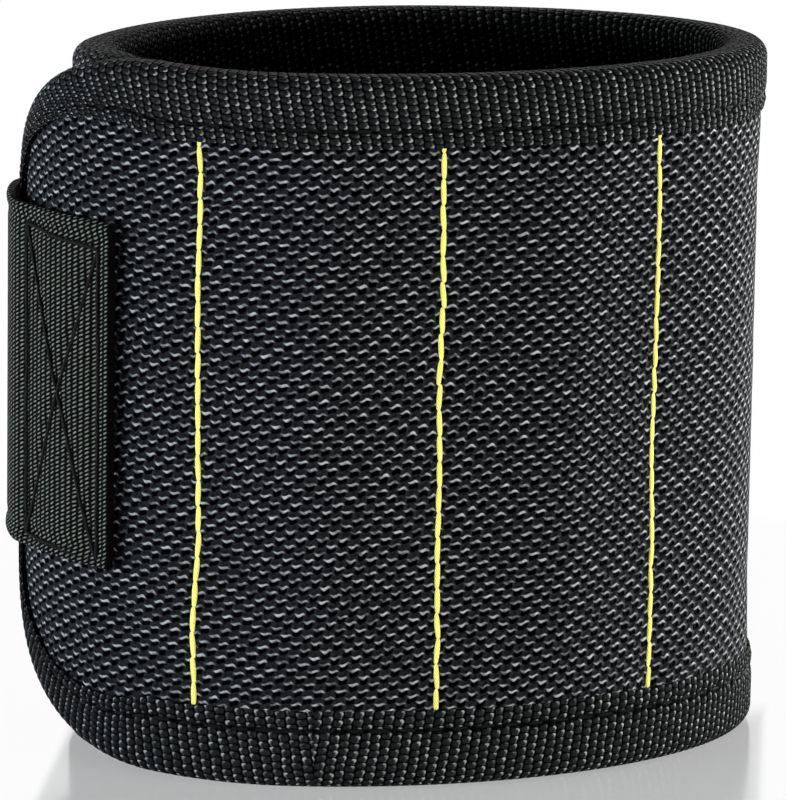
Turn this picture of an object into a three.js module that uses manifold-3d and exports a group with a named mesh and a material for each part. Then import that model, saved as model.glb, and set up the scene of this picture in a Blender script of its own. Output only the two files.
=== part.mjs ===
// Magnetic wristband: a padded cloth band, bound with tape all round, that wraps into an oval loop
// and is closed by a webbing strap with hook-and-loop patches. Rows of disc magnets sit in sewn pockets.
// Millimetres, +Z up. The origin is on the ground at the middle of the loop, with +X along its long side.
// The band is cut at its stitched fold lines, because each panel turns about the next one there.
import * as THREE from "three";
import { mergeVertices } from "three/addons/utils/BufferGeometryUtils.js";
import Module from "manifold-3d";

const wasm = await Module();
wasm.setup();

// Loop and band.
const LOOP_HALF_LENGTH = 48;
const LOOP_HALF_WIDTH = 34;
const BAND_HEIGHT = 90;
const OVERLAP = 32;
const TONGUE_CORNER_RADIUS = 35;
const TAIL_CORNER_RADIUS = 24;
const TONGUE_END_ANGLE = THREE.MathUtils.degToRad(162);
const FULL_TURN = 2 * Math.PI;

// Panels along the band.
const TONGUE_LENGTH = 41;
const POCKET_PITCH = 30.8;
const POCKET_COUNT = 5;
const LOOP_PANEL_COUNT = 2;
const FOLD_GAP = 0.6;

// Layers of the wall, from the outside in, and the gap between touching layers.
const LAYER_GAP = 0.3;
const COVER_THICKNESS = 0.8;
const PAD_THICKNESS = 3;
const POCKET_CROWN = 0.5;
const CROWN_RISE = 5;

// Binding tape folded over the edges.
const TAPE_THICKNESS = 0.7;
const TAPE_LEG = 10;
const END_TAPE_LEG = 5.5;
const TAPE_EDGE_ROUND = 2;

// Magnets.
const MAGNET_DIAMETER = 14;
const MAGNET_THICKNESS = 1.6;
const MAGNETS_PER_POCKET = 3;
const MAGNET_SPACING = 22;
const MAGNET_SIDES = 28;

// Closing strap and its hook-and-loop patches.
const STRAP_WIDTH = 47;
const STRAP_THICKNESS = 1.1;
const STRAP_BASE_LENGTH = 31;
const STRAP_REACH = 58;
const STRAP_END_LENGTH = 36;
const STRAP_END_RADIUS = 7;
const STRAP_EDGE_CHAMFER = 0.3;
const STRAP_STEP_LENGTH = 16;
const STRAP_CLIMB = 5.6;
const PULL_TAB_LENGTH = 11;
const HOOK_THICKNESS = 1;
const HOOK_MARGIN = 2.5;
const LOOP_THICKNESS = 0.8;
const LOOP_PATCH_HEIGHT = 55;
const LOOP_PATCH_MARGIN = 1.5;

// The tail tucks under the tongue by the thickness of the bound wall, over this much of the loop.
const TUCK_GAP = 0.4;
const TUCK_RUN = THREE.MathUtils.degToRad(80);
const TUCK_LEAD = THREE.MathUtils.degToRad(8);

// The strap pulls the tongue's end up a little.
const TONGUE_LIFT = 3.2;
const LIFT_RUN = THREE.MathUtils.degToRad(80);

// Facets.
const STATION_STEP = 3.9;
const CORNER_STEPS = 8;
const END_LEG_STEPS = 3;
const TRACK_SAMPLES_PER_TURN = 2880;

// Offsets are measured from the cover's outer face, and inwards is negative.
const PAD_OUTER = -(COVER_THICKNESS + LAYER_GAP);
const PAD_INNER = PAD_OUTER - PAD_THICKNESS;
const TAPE_OUTER = LAYER_GAP + TAPE_THICKNESS;
const TAPE_INNER = PAD_INNER - LAYER_GAP - TAPE_THICKNESS;
const EDGE_INSET = TAPE_THICKNESS + 2 * LAYER_GAP;
const LOOP_PATCH_INNER = LAYER_GAP;
const LOOP_PATCH_OUTER = LOOP_PATCH_INNER + LOOP_THICKNESS;
const OUTERMOST = Math.max(TAPE_OUTER, LOOP_PATCH_OUTER);
const TUCK_DEPTH = OUTERMOST - TAPE_INNER + TUCK_GAP;
const HOOK_SEAT = LOOP_PATCH_OUTER + LAYER_GAP;
const STRAP_OVER_LOOP = HOOK_SEAT + HOOK_THICKNESS + LAYER_GAP;
const STRAP_OVER_COVER = LAYER_GAP;
const STRAP_OVER_TAPE = TAPE_OUTER + LAYER_GAP;

const SQUARE = [[0, 0], [0, 1], [1, 1], [1, 0]].map(([x, y]) => new THREE.Vector2(x, y));

const smooth = (value) => THREE.MathUtils.smoothstep(value, 0, 1);

// Point on the oval at an angle, moved out along the oval's normal.
function ovalPoint(angle, offset) {
  const normal = ovalNormal(angle);
  const x = LOOP_HALF_LENGTH * Math.cos(angle) + offset * normal.x;
  const y = LOOP_HALF_WIDTH * Math.sin(angle) + offset * normal.y;
  return new THREE.Vector2(x, y);
}

function ovalNormal(angle) {
  const along = new THREE.Vector2(LOOP_HALF_WIDTH * Math.cos(angle), LOOP_HALF_LENGTH * Math.sin(angle));
  return along.normalize();
}

// How far the tail has moved in, to pass inside the tongue.
function tuck(angle) {
  const tucked = TONGUE_END_ANGLE + FULL_TURN - TUCK_LEAD;
  return -TUCK_DEPTH * smooth((angle - (tucked - TUCK_RUN)) / TUCK_RUN);
}

// How far the wall stands above the ground: only the tongue does, most at its end.
function lift(angle) {
  return TONGUE_LIFT * smooth((TONGUE_END_ANGLE + LIFT_RUN - angle) / LIFT_RUN);
}

// A track turns a distance along a curve into the oval angle there. The offset places the curve.
function makeTrack(startAngle, direction, offsetAt) {
  const step = (direction * FULL_TURN) / TRACK_SAMPLES_PER_TURN;
  const distances = [0];
  let last = ovalPoint(startAngle, offsetAt(startAngle));
  for (let i = 1; i < 1.5 * TRACK_SAMPLES_PER_TURN; i += 1) {
    const angle = startAngle + i * step;
    const next = ovalPoint(angle, offsetAt(angle));
    distances.push(distances[i - 1] + next.distanceTo(last));
    last = next;
  }
  function angleAt(distance) {
    let i = 1;
    while (i < distances.length - 1 && distances[i] < distance) i += 1;
    const share = (distance - distances[i - 1]) / (distances[i] - distances[i - 1]);
    return startAngle + (i - 1 + share) * step;
  }
  function place(distance, z, offset) {
    const angle = angleAt(distance);
    const point = ovalPoint(angle, offsetAt(angle) + offset);
    return new THREE.Vector3(point.x, point.y, z + lift(angle));
  }
  return { angleAt, place, lengthOfTurn: distances[TRACK_SAMPLES_PER_TURN] };
}

// The band starts at the tongue's end and runs along the front to the tail.
const band = makeTrack(TONGUE_END_ANGLE, 1, tuck);
const bandLength = makeTrack(TONGUE_END_ANGLE, 1, () => 0).lengthOfTurn + OVERLAP;

// The strap starts at its sewn edge on the tongue, climbs over the bound end and lands on the loop patches.
const strapStartAngle = band.angleAt(STRAP_BASE_LENGTH);
const strapLandAngle = band.angleAt(0) - STRAP_STEP_LENGTH / LOOP_HALF_WIDTH;

function strapSeat(angle) {
  const tapeEnd = TAPE_LEG + LAYER_GAP;
  const tapeAngle = band.angleAt(tapeEnd);
  const coverAngle = band.angleAt(tapeEnd + STRAP_CLIMB);
  if (angle >= TONGUE_END_ANGLE) {
    const climb = smooth((coverAngle - angle) / (coverAngle - tapeAngle));
    return THREE.MathUtils.lerp(STRAP_OVER_COVER, STRAP_OVER_TAPE, climb);
  }
  const landed = tuck(angle + FULL_TURN) + STRAP_OVER_LOOP;
  const fall = smooth((TONGUE_END_ANGLE - angle) / (TONGUE_END_ANGLE - strapLandAngle));
  return THREE.MathUtils.lerp(STRAP_OVER_TAPE, landed, fall);
}

const strap = makeTrack(strapStartAngle, -1, strapSeat);
const strapLength = STRAP_BASE_LENGTH + STRAP_REACH;
const strapEndStart = strapLength - STRAP_END_LENGTH;

// Panels of the band, by where they start and end along it.
const firstLoopPanel = TONGUE_LENGTH + POCKET_COUNT * POCKET_PITCH;
const loopPitch = (bandLength - firstLoopPanel) / (LOOP_PANEL_COUNT + 1);
const panels = [{ name: "tongue", kind: "tongue", from: 0, to: TONGUE_LENGTH }];
for (let i = 0; i < POCKET_COUNT; i += 1) {
  const from = TONGUE_LENGTH + i * POCKET_PITCH;
  panels.push({ name: `pocket_${i + 1}`, kind: "pocket", from, to: from + POCKET_PITCH });
}
for (let i = 0; i < LOOP_PANEL_COUNT; i += 1) {
  const from = firstLoopPanel + i * loopPitch;
  panels.push({ name: `landing_${i + 1}`, kind: "landing", from, to: from + loopPitch });
}
panels.push({ name: "tail", kind: "tail", from: bandLength - loopPitch, to: bandLength });

// The cloth of a pocket swells between its stitch lines.
function crown(panel, s) {
  const across = (2 * (s - panel.from)) / (panel.to - panel.from) - 1;
  return POCKET_CROWN * (1 - across * across);
}

// Evenly spaced stations between two places, no further apart than the facet step.
function stations(from, to) {
  const count = Math.max(2, Math.ceil((to - from) / STATION_STEP));
  return Array.from({ length: count + 1 }, (_, i) => from + ((to - from) * i) / count);
}

// The two ends are rounded, as far as their panels have room for it.
function cornerRadius(panel) {
  const wanted = panel.kind === "tail" ? TAIL_CORNER_RADIUS : TONGUE_CORNER_RADIUS;
  return Math.min(wanted, panel.to - panel.from - TAPE_LEG / 2, 0.45 * BAND_HEIGHT);
}

// Stations of a panel's flat layer, with the rounded corners of the two ends.
function panelStations(panel, inset) {
  const radius = cornerRadius(panel);
  const from = panel.kind === "tongue" ? radius : panel.from + FOLD_GAP / 2;
  const to = panel.kind === "tail" ? panel.to - radius : panel.to - FOLD_GAP / 2;
  const corner = [];
  for (let i = 0; i < CORNER_STEPS; i += 1) {
    const turn = (i * Math.PI) / 2 / CORNER_STEPS;
    corner.push(radius - (radius - inset) * Math.cos(turn));
  }
  const straight = stations(from, to);
  if (panel.kind === "tongue") return [...corner, ...straight];
  if (panel.kind === "tail") return [...straight, ...corner.reverse().map((s) => panel.to - s)];
  return straight;
}

// How far in from the band's long edge a layer starts, inset from the tape and rounded at the two ends.
function edgeAt(panel, s, inset) {
  const radius = cornerRadius(panel);
  const fromEnd = panel.kind === "tongue" ? s : panel.kind === "tail" ? panel.to - s : radius;
  if (fromEnd >= radius) return inset;
  const reach = radius - inset;
  const run = Math.min(reach, radius - fromEnd);
  return radius - Math.sqrt(reach * reach - run * run);
}

// Closed solid through a row of sections that all have the same number of corners.
function loft(sections, outline) {
  const corners = outline.length;
  const position = sections.flatMap((section) => section.flatMap((p) => p.toArray()));
  const index = [];
  for (let i = 0; i + 1 < sections.length; i += 1) {
    for (let j = 0; j < corners; j += 1) {
      const a = i * corners + j;
      const b = i * corners + ((j + 1) % corners);
      index.push(a, b, a + corners, b, b + corners, a + corners);
    }
  }
  const last = (sections.length - 1) * corners;
  for (const face of THREE.ShapeUtils.triangulateShape(outline, [])) {
    const [a, b, c] = THREE.ShapeUtils.isClockWise(outline) ? face.reverse() : face;
    index.push(c, b, a, last + a, last + b, last + c);
  }
  const geometry = new THREE.BufferGeometry();
  geometry.setAttribute("position", new THREE.Float32BufferAttribute(position, 3));
  geometry.setIndex(signedVolume(position, index) < 0 ? index.reverse() : index);
  return geometry;
}

// Negative where a solid's faces point inwards.
function signedVolume(position, index) {
  const corner = (i) => new THREE.Vector3().fromArray(position, 3 * index[i]);
  let sum = 0;
  for (let i = 0; i < index.length; i += 3) sum += corner(i).dot(corner(i + 1).cross(corner(i + 2)));
  return sum / 6;
}

// Cloth or padding of one panel between two offsets.
function layer(panel, inset, inner, outer) {
  const sections = panelStations(panel, inset).map((s) => {
    const low = edgeAt(panel, s, inset);
    const corners = [[low, inner], [low, outer], [BAND_HEIGHT - low, outer], [BAND_HEIGHT - low, inner]];
    return corners.map(([z, offset]) => band.place(s, z, offset));
  });
  return loft(sections, SQUARE);
}

// Cover of a pocket. It lies flat under the tape and swells between the two tapes.
function pocketCover(panel) {
  const levels = [
    [EDGE_INSET, 0],
    [TAPE_LEG + LAYER_GAP, 0],
    [TAPE_LEG + CROWN_RISE, 1],
    [BAND_HEIGHT - TAPE_LEG - CROWN_RISE, 1],
    [BAND_HEIGHT - TAPE_LEG - LAYER_GAP, 0],
    [BAND_HEIGHT - EDGE_INSET, 0],
  ];
  const ring = [
    ...levels.map(([z, share]) => ({ z, share, offset: 0 })),
    ...levels.toReversed().map(([z, share]) => ({ z, share, offset: -COVER_THICKNESS })),
  ];
  const outline = ring.map((at) => new THREE.Vector2(at.z, at.offset + at.share * POCKET_CROWN));
  const sections = panelStations(panel, EDGE_INSET).map((s) =>
    ring.map((at) => band.place(s, at.z, at.offset + at.share * crown(panel, s))),
  );
  return loft(sections, outline);
}

// Section of the folded tape: how far in from the edge, and the offset. Its legs can have steps to bend at.
function tapeSection(legSteps) {
  const round = TAPE_EDGE_ROUND;
  const fold = EDGE_INSET - LAYER_GAP;
  const shares = Array.from({ length: legSteps }, (_, i) => i / legSteps);
  const leg = shares.map((share) => THREE.MathUtils.lerp(TAPE_LEG, round, share));
  const lining = shares.map((share) => THREE.MathUtils.lerp(TAPE_LEG, fold, share));
  const points = [
    ...leg.map((inwards) => [inwards, TAPE_OUTER]),
    [round, TAPE_OUTER],
    [0.3 * round, TAPE_OUTER - 0.3 * round],
    [0, TAPE_OUTER - round],
    [0, TAPE_INNER + round],
    [0.3 * round, TAPE_INNER + 0.3 * round],
    [round, TAPE_INNER],
    ...leg.toReversed().map((inwards) => [inwards, TAPE_INNER]),
    ...lining.map((inwards) => [inwards, TAPE_INNER + TAPE_THICKNESS]),
    [fold, TAPE_INNER + TAPE_THICKNESS],
    [fold, TAPE_OUTER - TAPE_THICKNESS],
    ...lining.toReversed().map((inwards) => [inwards, TAPE_OUTER - TAPE_THICKNESS]),
  ];
  return points.map(([inwards, offset]) => new THREE.Vector2(inwards, offset));
}

// Tape along a path of the band's outline. Each path point knows which way is inwards and its leg's length.
function tape(path, legSteps) {
  const section = tapeSection(legSteps);
  const sections = path.map((at) =>
    section.map((p) => {
      const reach = (at.leg - TAPE_EDGE_ROUND) / (TAPE_LEG - TAPE_EDGE_ROUND);
      const inwards = p.x > TAPE_EDGE_ROUND ? TAPE_EDGE_ROUND + reach * (p.x - TAPE_EDGE_ROUND) : p.x;
      return band.place(at.s + inwards * at.inS, at.z + inwards * at.inZ, p.y);
    }),
  );
  return loft(sections, section);
}

function straightTape(panel, z, inZ) {
  const path = stations(panel.from + FOLD_GAP / 2, panel.to - FOLD_GAP / 2);
  return tape(path.map((s) => ({ s, z, inS: 0, inZ, leg: TAPE_LEG })), 1);
}

// Tape round an end: along the top, round both corners, where it is pulled over the edge and its legs get
// shorter, along the end and back along the bottom.
function endTape(panel) {
  const atTail = panel.kind === "tail";
  const foldEnd = (atTail ? panel.to - panel.from : panel.to) - FOLD_GAP / 2;
  const radius = cornerRadius(panel);
  const straight = { z: BAND_HEIGHT, inS: 0, inZ: -1, leg: TAPE_LEG };
  const path = stations(radius, foldEnd).map((s) => ({ s, ...straight })).reverse();
  for (let i = 1; i <= CORNER_STEPS; i += 1) {
    const turn = (Math.PI / 2) * (1 - i / CORNER_STEPS);
    const inS = Math.cos(turn);
    const inZ = -Math.sin(turn);
    const leg = THREE.MathUtils.lerp(TAPE_LEG, END_TAPE_LEG, smooth(i / CORNER_STEPS));
    path.push({ s: radius * (1 - inS), z: BAND_HEIGHT - radius * (1 + inZ), inS, inZ, leg });
  }
  const lower = path.map((at) => ({ ...at, z: BAND_HEIGHT - at.z, inZ: -at.inZ })).reverse();
  const round = [...path, ...lower];
  if (!atTail) return tape(round, END_LEG_STEPS);
  return tape(round.map((at) => ({ ...at, s: panel.to - at.s, inS: -at.inS })), END_LEG_STEPS);
}

// Flat strip of the strap between two offsets. Its far corners can be rounded.
function strapStrip(from, to, width, inner, outer, chamfer, endRadius) {
  const section = [
    [-1, 0, 1], [-1, 0, -1], [-1, 1, -1], [-1, 1, 1],
    [1, 1, 1], [1, 1, -1], [1, 0, -1], [1, 0, 1],
  ];
  const outline = section.map(([side, level, bevel]) => {
    const lift = bevel > 0 ? 0 : chamfer;
    const draw = bevel > 0 ? chamfer : 0;
    const z = side * (width / 2 - draw);
    return new THREE.Vector2(z, level === 1 ? outer - lift : inner + lift);
  });
  const ring = orderByAngle(outline);
  const round = [];
  for (let i = 1; i <= CORNER_STEPS && endRadius > 0; i += 1) {
    round.push(to - endRadius * (1 - Math.sin((i * Math.PI) / 2 / CORNER_STEPS)));
  }
  const sections = [...stations(from, to - endRadius), ...round].map((u) => {
    const past = Math.max(0, u - (to - endRadius));
    const drawn = endRadius - Math.sqrt(Math.max(0, endRadius * endRadius - past * past));
    const narrow = (width / 2 - drawn) / (width / 2);
    return ring.map((p) => strap.place(u, BAND_HEIGHT / 2 + p.x * narrow, p.y));
  });
  return loft(sections, ring);
}

// The corners of a convex section, in order round its middle.
function orderByAngle(points) {
  const middle = points.reduce((sum, p) => sum.add(p), new THREE.Vector2()).divideScalar(points.length);
  const angle = (p) => Math.atan2(p.y - middle.y, p.x - middle.x);
  return [...points].sort((p, q) => angle(p) - angle(q));
}

// Loop pile sewn on the outside of a landing panel or on the tail.
function loopPatch(panel) {
  const seam = panel.to - FOLD_GAP / 2 - LOOP_PATCH_MARGIN / 2;
  const far = panel.kind === "tail" ? panel.to - cornerRadius(panel) / 2 : seam;
  const near = panel.from + FOLD_GAP / 2 + LOOP_PATCH_MARGIN / 2;
  const sections = stations(near, far).map((s) =>
    SQUARE.map((corner) => {
      const z = BAND_HEIGHT / 2 + (corner.x - 0.5) * LOOP_PATCH_HEIGHT;
      return band.place(s, z, THREE.MathUtils.lerp(LOOP_PATCH_INNER, LOOP_PATCH_OUTER, corner.y));
    }),
  );
  return loft(sections, SQUARE);
}

// Where a magnet's middle lies: under the cover, deep enough for a flat disc in a curved wall.
function magnetSeat(panel, row) {
  const middle = (panel.from + panel.to) / 2;
  const flat = ovalNormal(band.angleAt(middle));
  const normal = new THREE.Vector3(flat.x, flat.y, 0);
  const face = band.place(middle, BAND_HEIGHT / 2 + row * MAGNET_SPACING, PAD_OUTER);
  const sides = [-1, 1].map((side) => {
    const edge = band.place(middle + (side * MAGNET_DIAMETER) / 2, face.z, PAD_OUTER);
    return face.clone().sub(edge).dot(normal);
  });
  const depth = Math.max(...sides);
  return { normal, outerFace: face.addScaledVector(normal, -depth) };
}

function turnDisc(mesh, normal) {
  mesh.quaternion.setFromUnitVectors(new THREE.Vector3(0, 1, 0), normal);
}

// Recess in the padding that a magnet drops into from the outside.
function magnetRecess(seat) {
  const floor = MAGNET_THICKNESS + LAYER_GAP;
  const height = floor + PAD_THICKNESS;
  const radius = MAGNET_DIAMETER / 2 + LAYER_GAP;
  const cutter = new THREE.Mesh(new THREE.CylinderGeometry(radius, radius, height, MAGNET_SIDES));
  turnDisc(cutter, seat.normal);
  cutter.position.copy(seat.outerFace).addScaledVector(seat.normal, height / 2 - floor);
  cutter.updateMatrixWorld();
  return toSolid(cutter.geometry.clone().applyMatrix4(cutter.matrixWorld));
}

function toSolid(geometry) {
  const bare = geometry.clone();
  bare.deleteAttribute("normal");
  bare.deleteAttribute("uv");
  const merged = mergeVertices(bare, 1e-4);
  const vertProperties = new Float32Array(merged.getAttribute("position").array);
  const triVerts = new Uint32Array(merged.index.array);
  return new wasm.Manifold(new wasm.Mesh({ numProp: 3, vertProperties, triVerts }));
}

function toGeometry(solid) {
  const mesh = solid.getMesh();
  const geometry = new THREE.BufferGeometry();
  geometry.setAttribute("position", new THREE.BufferAttribute(mesh.vertProperties, 3));
  geometry.setIndex(new THREE.BufferAttribute(mesh.triVerts, 1));
  return geometry;
}

const materials = {
  cover: new THREE.MeshStandardMaterial({ color: 0x1c1f23, roughness: 0.55 }),
  pad: new THREE.MeshStandardMaterial({ color: 0x121214, roughness: 0.9 }),
  tape: new THREE.MeshStandardMaterial({ color: 0x19191b, roughness: 0.65 }),
  webbing: new THREE.MeshStandardMaterial({ color: 0x1a1b1b, roughness: 0.7 }),
  hook: new THREE.MeshStandardMaterial({ color: 0x0e0e0f, roughness: 0.6 }),
  loop: new THREE.MeshStandardMaterial({ color: 0x111112, roughness: 0.95 }),
  magnet: new THREE.MeshStandardMaterial({ color: 0xb9bcc0, roughness: 0.25, metalness: 1 }),
};

const wristband = new THREE.Group();

function add(name, geometry, material) {
  const mesh = new THREE.Mesh(geometry, material);
  mesh.name = name;
  wristband.add(mesh);
  return mesh;
}

// Cover, padding and binding of every panel.
for (const panel of panels) {
  const isEnd = panel.kind === "tongue" || panel.kind === "tail";
  const cover = panel.kind === "pocket" ? pocketCover(panel) : layer(panel, EDGE_INSET, -COVER_THICKNESS, 0);
  add(`cover_${panel.name}`, cover, materials.cover);
  let padding = layer(panel, EDGE_INSET, PAD_INNER, PAD_OUTER);
  if (panel.kind === "pocket") {
    let solid = toSolid(padding);
    for (let row = 0; row < MAGNETS_PER_POCKET; row += 1) {
      const seat = magnetSeat(panel, row - (MAGNETS_PER_POCKET - 1) / 2);
      solid = solid.subtract(magnetRecess(seat));
      const radius = MAGNET_DIAMETER / 2;
      const disc = new THREE.CylinderGeometry(radius, radius, MAGNET_THICKNESS, MAGNET_SIDES);
      const magnet = add(`magnet_${panel.name}_row_${row + 1}`, disc, materials.magnet);
      turnDisc(magnet, seat.normal);
      magnet.position.copy(seat.outerFace).addScaledVector(seat.normal, -MAGNET_THICKNESS / 2);
    }
    padding = toGeometry(solid);
  }
  add(`pad_${panel.name}`, padding, materials.pad);
  if (isEnd) {
    add(`binding_${panel.name}`, endTape(panel), materials.tape);
  } else {
    add(`top_binding_${panel.name}`, straightTape(panel, BAND_HEIGHT, -1), materials.tape);
    add(`bottom_binding_${panel.name}`, straightTape(panel, 0, 1), materials.tape);
  }
  if (panel.kind === "landing" || panel.kind === "tail") {
    add(`loop_patch_${panel.name}`, loopPatch(panel), materials.loop);
  }
}

// Strap: sewn base, the stretch that peels, and the end that lifts first.
const peelAt = STRAP_BASE_LENGTH;
const half = FOLD_GAP / 2;
const strapPiece = (from, to, endRadius) =>
  strapStrip(from, to, STRAP_WIDTH, 0, STRAP_THICKNESS, STRAP_EDGE_CHAMFER, endRadius);
add("strap_base", strapPiece(0, peelAt - half, 0), materials.webbing);
add("strap_web", strapPiece(peelAt + half, strapEndStart - half, 0), materials.webbing);
add("strap_end", strapPiece(strapEndStart + half, strapLength, STRAP_END_RADIUS), materials.webbing);

// Hook patch under the strap's end, stopping short of the pull tab.
const hookWidth = STRAP_WIDTH - 2 * HOOK_MARGIN;
const hookStart = strapEndStart + FOLD_GAP;
const hookEnd = strapLength - PULL_TAB_LENGTH;
const hookInner = -LAYER_GAP - HOOK_THICKNESS;
const hook = strapStrip(hookStart, hookEnd, hookWidth, hookInner, -LAYER_GAP, STRAP_EDGE_CHAMFER, 0);
add("hook_patch", hook, materials.hook);

// Fold lines: each turns about an upright axis on the outermost face there.
const foldAxes = panels.slice(1).map((panel, i) => ({
  between: [panels[i].name, panel.name],
  at: band.place(panel.from, 0, OUTERMOST),
}));
foldAxes.push({ between: ["tongue", "strap_web"], at: strap.place(peelAt, 0, STRAP_THICKNESS) });
foldAxes.push({ between: ["strap_web", "strap_end"], at: strap.place(strapEndStart, 0, STRAP_THICKNESS) });

// The strap lies outside the loop on one side, so everything moves over until the origin is under the middle.
const middle = new THREE.Box3().setFromObject(wristband, true).getCenter(new THREE.Vector3()).setZ(0);
for (const mesh of wristband.children) mesh.position.sub(middle);
for (const axis of foldAxes) axis.at.sub(middle);
wristband.userData = { foldAxes, bandLength, strapLength, loopCentre: middle.clone().negate() };

export default wristband;
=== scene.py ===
# %% [markdown]
# # A magnetic wristband, cut and sewn
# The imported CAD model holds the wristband's solids: cover, padding, binding tape, strap and magnets, cut
# where the band folds. This lesson makes the cloth that those solids stand for. Every cloth is cut flat, in
# millimetres along and across the band, sewn and swollen there, and then wrapped round the loop.
# It could also be modelled round the loop from the start, but weave, seams and tape run straight along the
# cloth, so a flat pattern keeps every size plain.

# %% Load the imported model
import bpy
import math
import numpy as np
from mathutils import Euler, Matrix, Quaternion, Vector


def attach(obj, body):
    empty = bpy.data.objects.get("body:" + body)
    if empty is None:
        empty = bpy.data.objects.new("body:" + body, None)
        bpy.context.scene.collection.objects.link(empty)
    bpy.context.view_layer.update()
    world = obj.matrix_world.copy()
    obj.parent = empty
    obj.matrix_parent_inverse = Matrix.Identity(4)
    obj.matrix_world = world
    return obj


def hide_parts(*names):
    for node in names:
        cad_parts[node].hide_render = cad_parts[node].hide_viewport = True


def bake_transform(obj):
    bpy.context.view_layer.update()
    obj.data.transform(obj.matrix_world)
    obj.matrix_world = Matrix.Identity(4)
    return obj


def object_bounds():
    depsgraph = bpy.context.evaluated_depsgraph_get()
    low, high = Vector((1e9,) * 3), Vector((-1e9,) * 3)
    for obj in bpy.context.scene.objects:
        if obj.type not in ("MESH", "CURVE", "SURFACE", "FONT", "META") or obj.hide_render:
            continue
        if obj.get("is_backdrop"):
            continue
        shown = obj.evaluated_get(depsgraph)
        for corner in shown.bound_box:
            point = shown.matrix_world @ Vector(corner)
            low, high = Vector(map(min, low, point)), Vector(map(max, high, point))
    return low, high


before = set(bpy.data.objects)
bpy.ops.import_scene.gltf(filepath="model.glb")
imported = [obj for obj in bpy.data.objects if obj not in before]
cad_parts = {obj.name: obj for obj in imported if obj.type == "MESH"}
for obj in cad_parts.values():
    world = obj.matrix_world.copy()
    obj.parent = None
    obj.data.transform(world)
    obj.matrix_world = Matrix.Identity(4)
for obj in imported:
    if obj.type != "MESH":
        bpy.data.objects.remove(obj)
cad_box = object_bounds()
MM = 0.001

# %% [markdown]
# ## The line that the band follows
# Seen from above, the worn band is an oval. The tongue ends at the left, the band runs along the front, the
# right and the back, and its tail slips inside the tongue. The strap pulls the tongue's end up by 3 mm. A
# curve object could carry the line, but the place of each seam is known as a distance along the cloth, so
# a small table from distance to angle does better.

# %% The oval, the tuck of the tail and the lift of the tongue
HALF_LENGTH, HALF_WIDTH, BAND_HEIGHT = 48.0, 34.0, 90.0
LOOP_MIDDLE = (0.64254, -1.14613)
TONGUE_END = math.radians(162)
OVERLAP = 32.0
TUCK_DEPTH, TUCK_RUN, TUCK_LEAD = 6.6, math.radians(80), math.radians(8)
TONGUE_LIFT, LIFT_RUN = 3.2, math.radians(80)
FULL_TURN = 2 * math.pi


def smooth(share):
    share = np.clip(share, 0, 1)
    return share * share * (3 - 2 * share)


def oval(angle, offset):
    out_x, out_y = HALF_WIDTH * np.cos(angle), HALF_LENGTH * np.sin(angle)
    length = np.hypot(out_x, out_y)
    x = HALF_LENGTH * np.cos(angle) + offset * out_x / length + LOOP_MIDDLE[0]
    y = HALF_WIDTH * np.sin(angle) + offset * out_y / length + LOOP_MIDDLE[1]
    return x, y


def tuck(angle):
    start = TONGUE_END + FULL_TURN - TUCK_LEAD - TUCK_RUN
    return -TUCK_DEPTH * smooth((angle - start) / TUCK_RUN)


def lift(angle):
    return TONGUE_LIFT * smooth((TONGUE_END + LIFT_RUN - angle) / LIFT_RUN)


print(f"loop: {2 * HALF_LENGTH:.0f} x {2 * HALF_WIDTH:.0f} mm")

# %% From a distance along the band to a place in space
def make_track(start, direction, seat):
    angles = start + direction * np.linspace(0, 1.5 * FULL_TURN, 4321)
    x, y = oval(angles, seat(angles))
    steps = np.hypot(np.diff(x), np.diff(y))
    return {"angles": angles, "lengths": np.append(0, np.cumsum(steps)), "seat": seat}


def angle_at(track, distance):
    return np.interp(distance, track["lengths"], track["angles"])


def place(track, along, up, offset):
    angle = angle_at(track, along)
    x, y = oval(angle, track["seat"](angle) + offset)
    return np.column_stack([x, y, up + lift(angle)]) * MM


band = make_track(TONGUE_END, 1, tuck)
plain_oval = make_track(TONGUE_END, 1, np.zeros_like)
one_turn = np.interp(TONGUE_END + FULL_TURN, plain_oval["angles"], plain_oval["lengths"])
BAND_LENGTH = one_turn + OVERLAP
print(f"band: {BAND_LENGTH:.1f} mm long, {BAND_HEIGHT:.0f} mm wide")

# %% [markdown]
# ## Folds and cuts
# The CAD bodies turn about each other at the folds. Cloth has to bend there without a tear, and one piece can
# bend between two bodies only. So each cloth is cut at the middle of the panels, where nothing bends, and
# every piece bridges one fold. Each span lists a stretch for its bend that ends where the magnets begin, so
# that they would never press through, but the pieces are not bent here.

# %% Where the band folds and where the cloth is cut
TONGUE_LENGTH, POCKET_PITCH, POCKETS = 41.0, 30.8, 5
BODIES = ["tongue", *(f"pocket_{i + 1}" for i in range(POCKETS)), "landing_1", "landing_2", "tail"]
SEAMS = [TONGUE_LENGTH + i * POCKET_PITCH for i in range(POCKETS + 1)]
landing_pitch = (BAND_LENGTH - SEAMS[-1]) / 3
FOLDS = [*SEAMS, SEAMS[-1] + landing_pitch, SEAMS[-1] + 2 * landing_pitch]
middles = [(a + b) / 2 for a, b in zip(FOLDS, FOLDS[1:])]
CUTS = [0.0, *middles, BAND_LENGTH]
TONGUE_BEND = (32.5, 51.0)
BEND_REACH = 10.5

SPANS = []
for i, fold in enumerate(FOLDS):
    bend = (fold - BEND_REACH, fold + BEND_REACH) if i else TONGUE_BEND
    SPANS.append({"name": f"{BODIES[i]}_to_{BODIES[i + 1]}", "from": CUTS[i], "to": CUTS[i + 1],
                  "fold": fold, "bend": bend, "bodies": (BODIES[i], BODIES[i + 1])})


def bend_with(piece, span, offset):
    start, end = (place(band, np.array([s]), 0.0, offset)[0] for s in span["bend"])
    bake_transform(piece)


print("folds at", [round(f, 1) for f in FOLDS])

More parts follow.
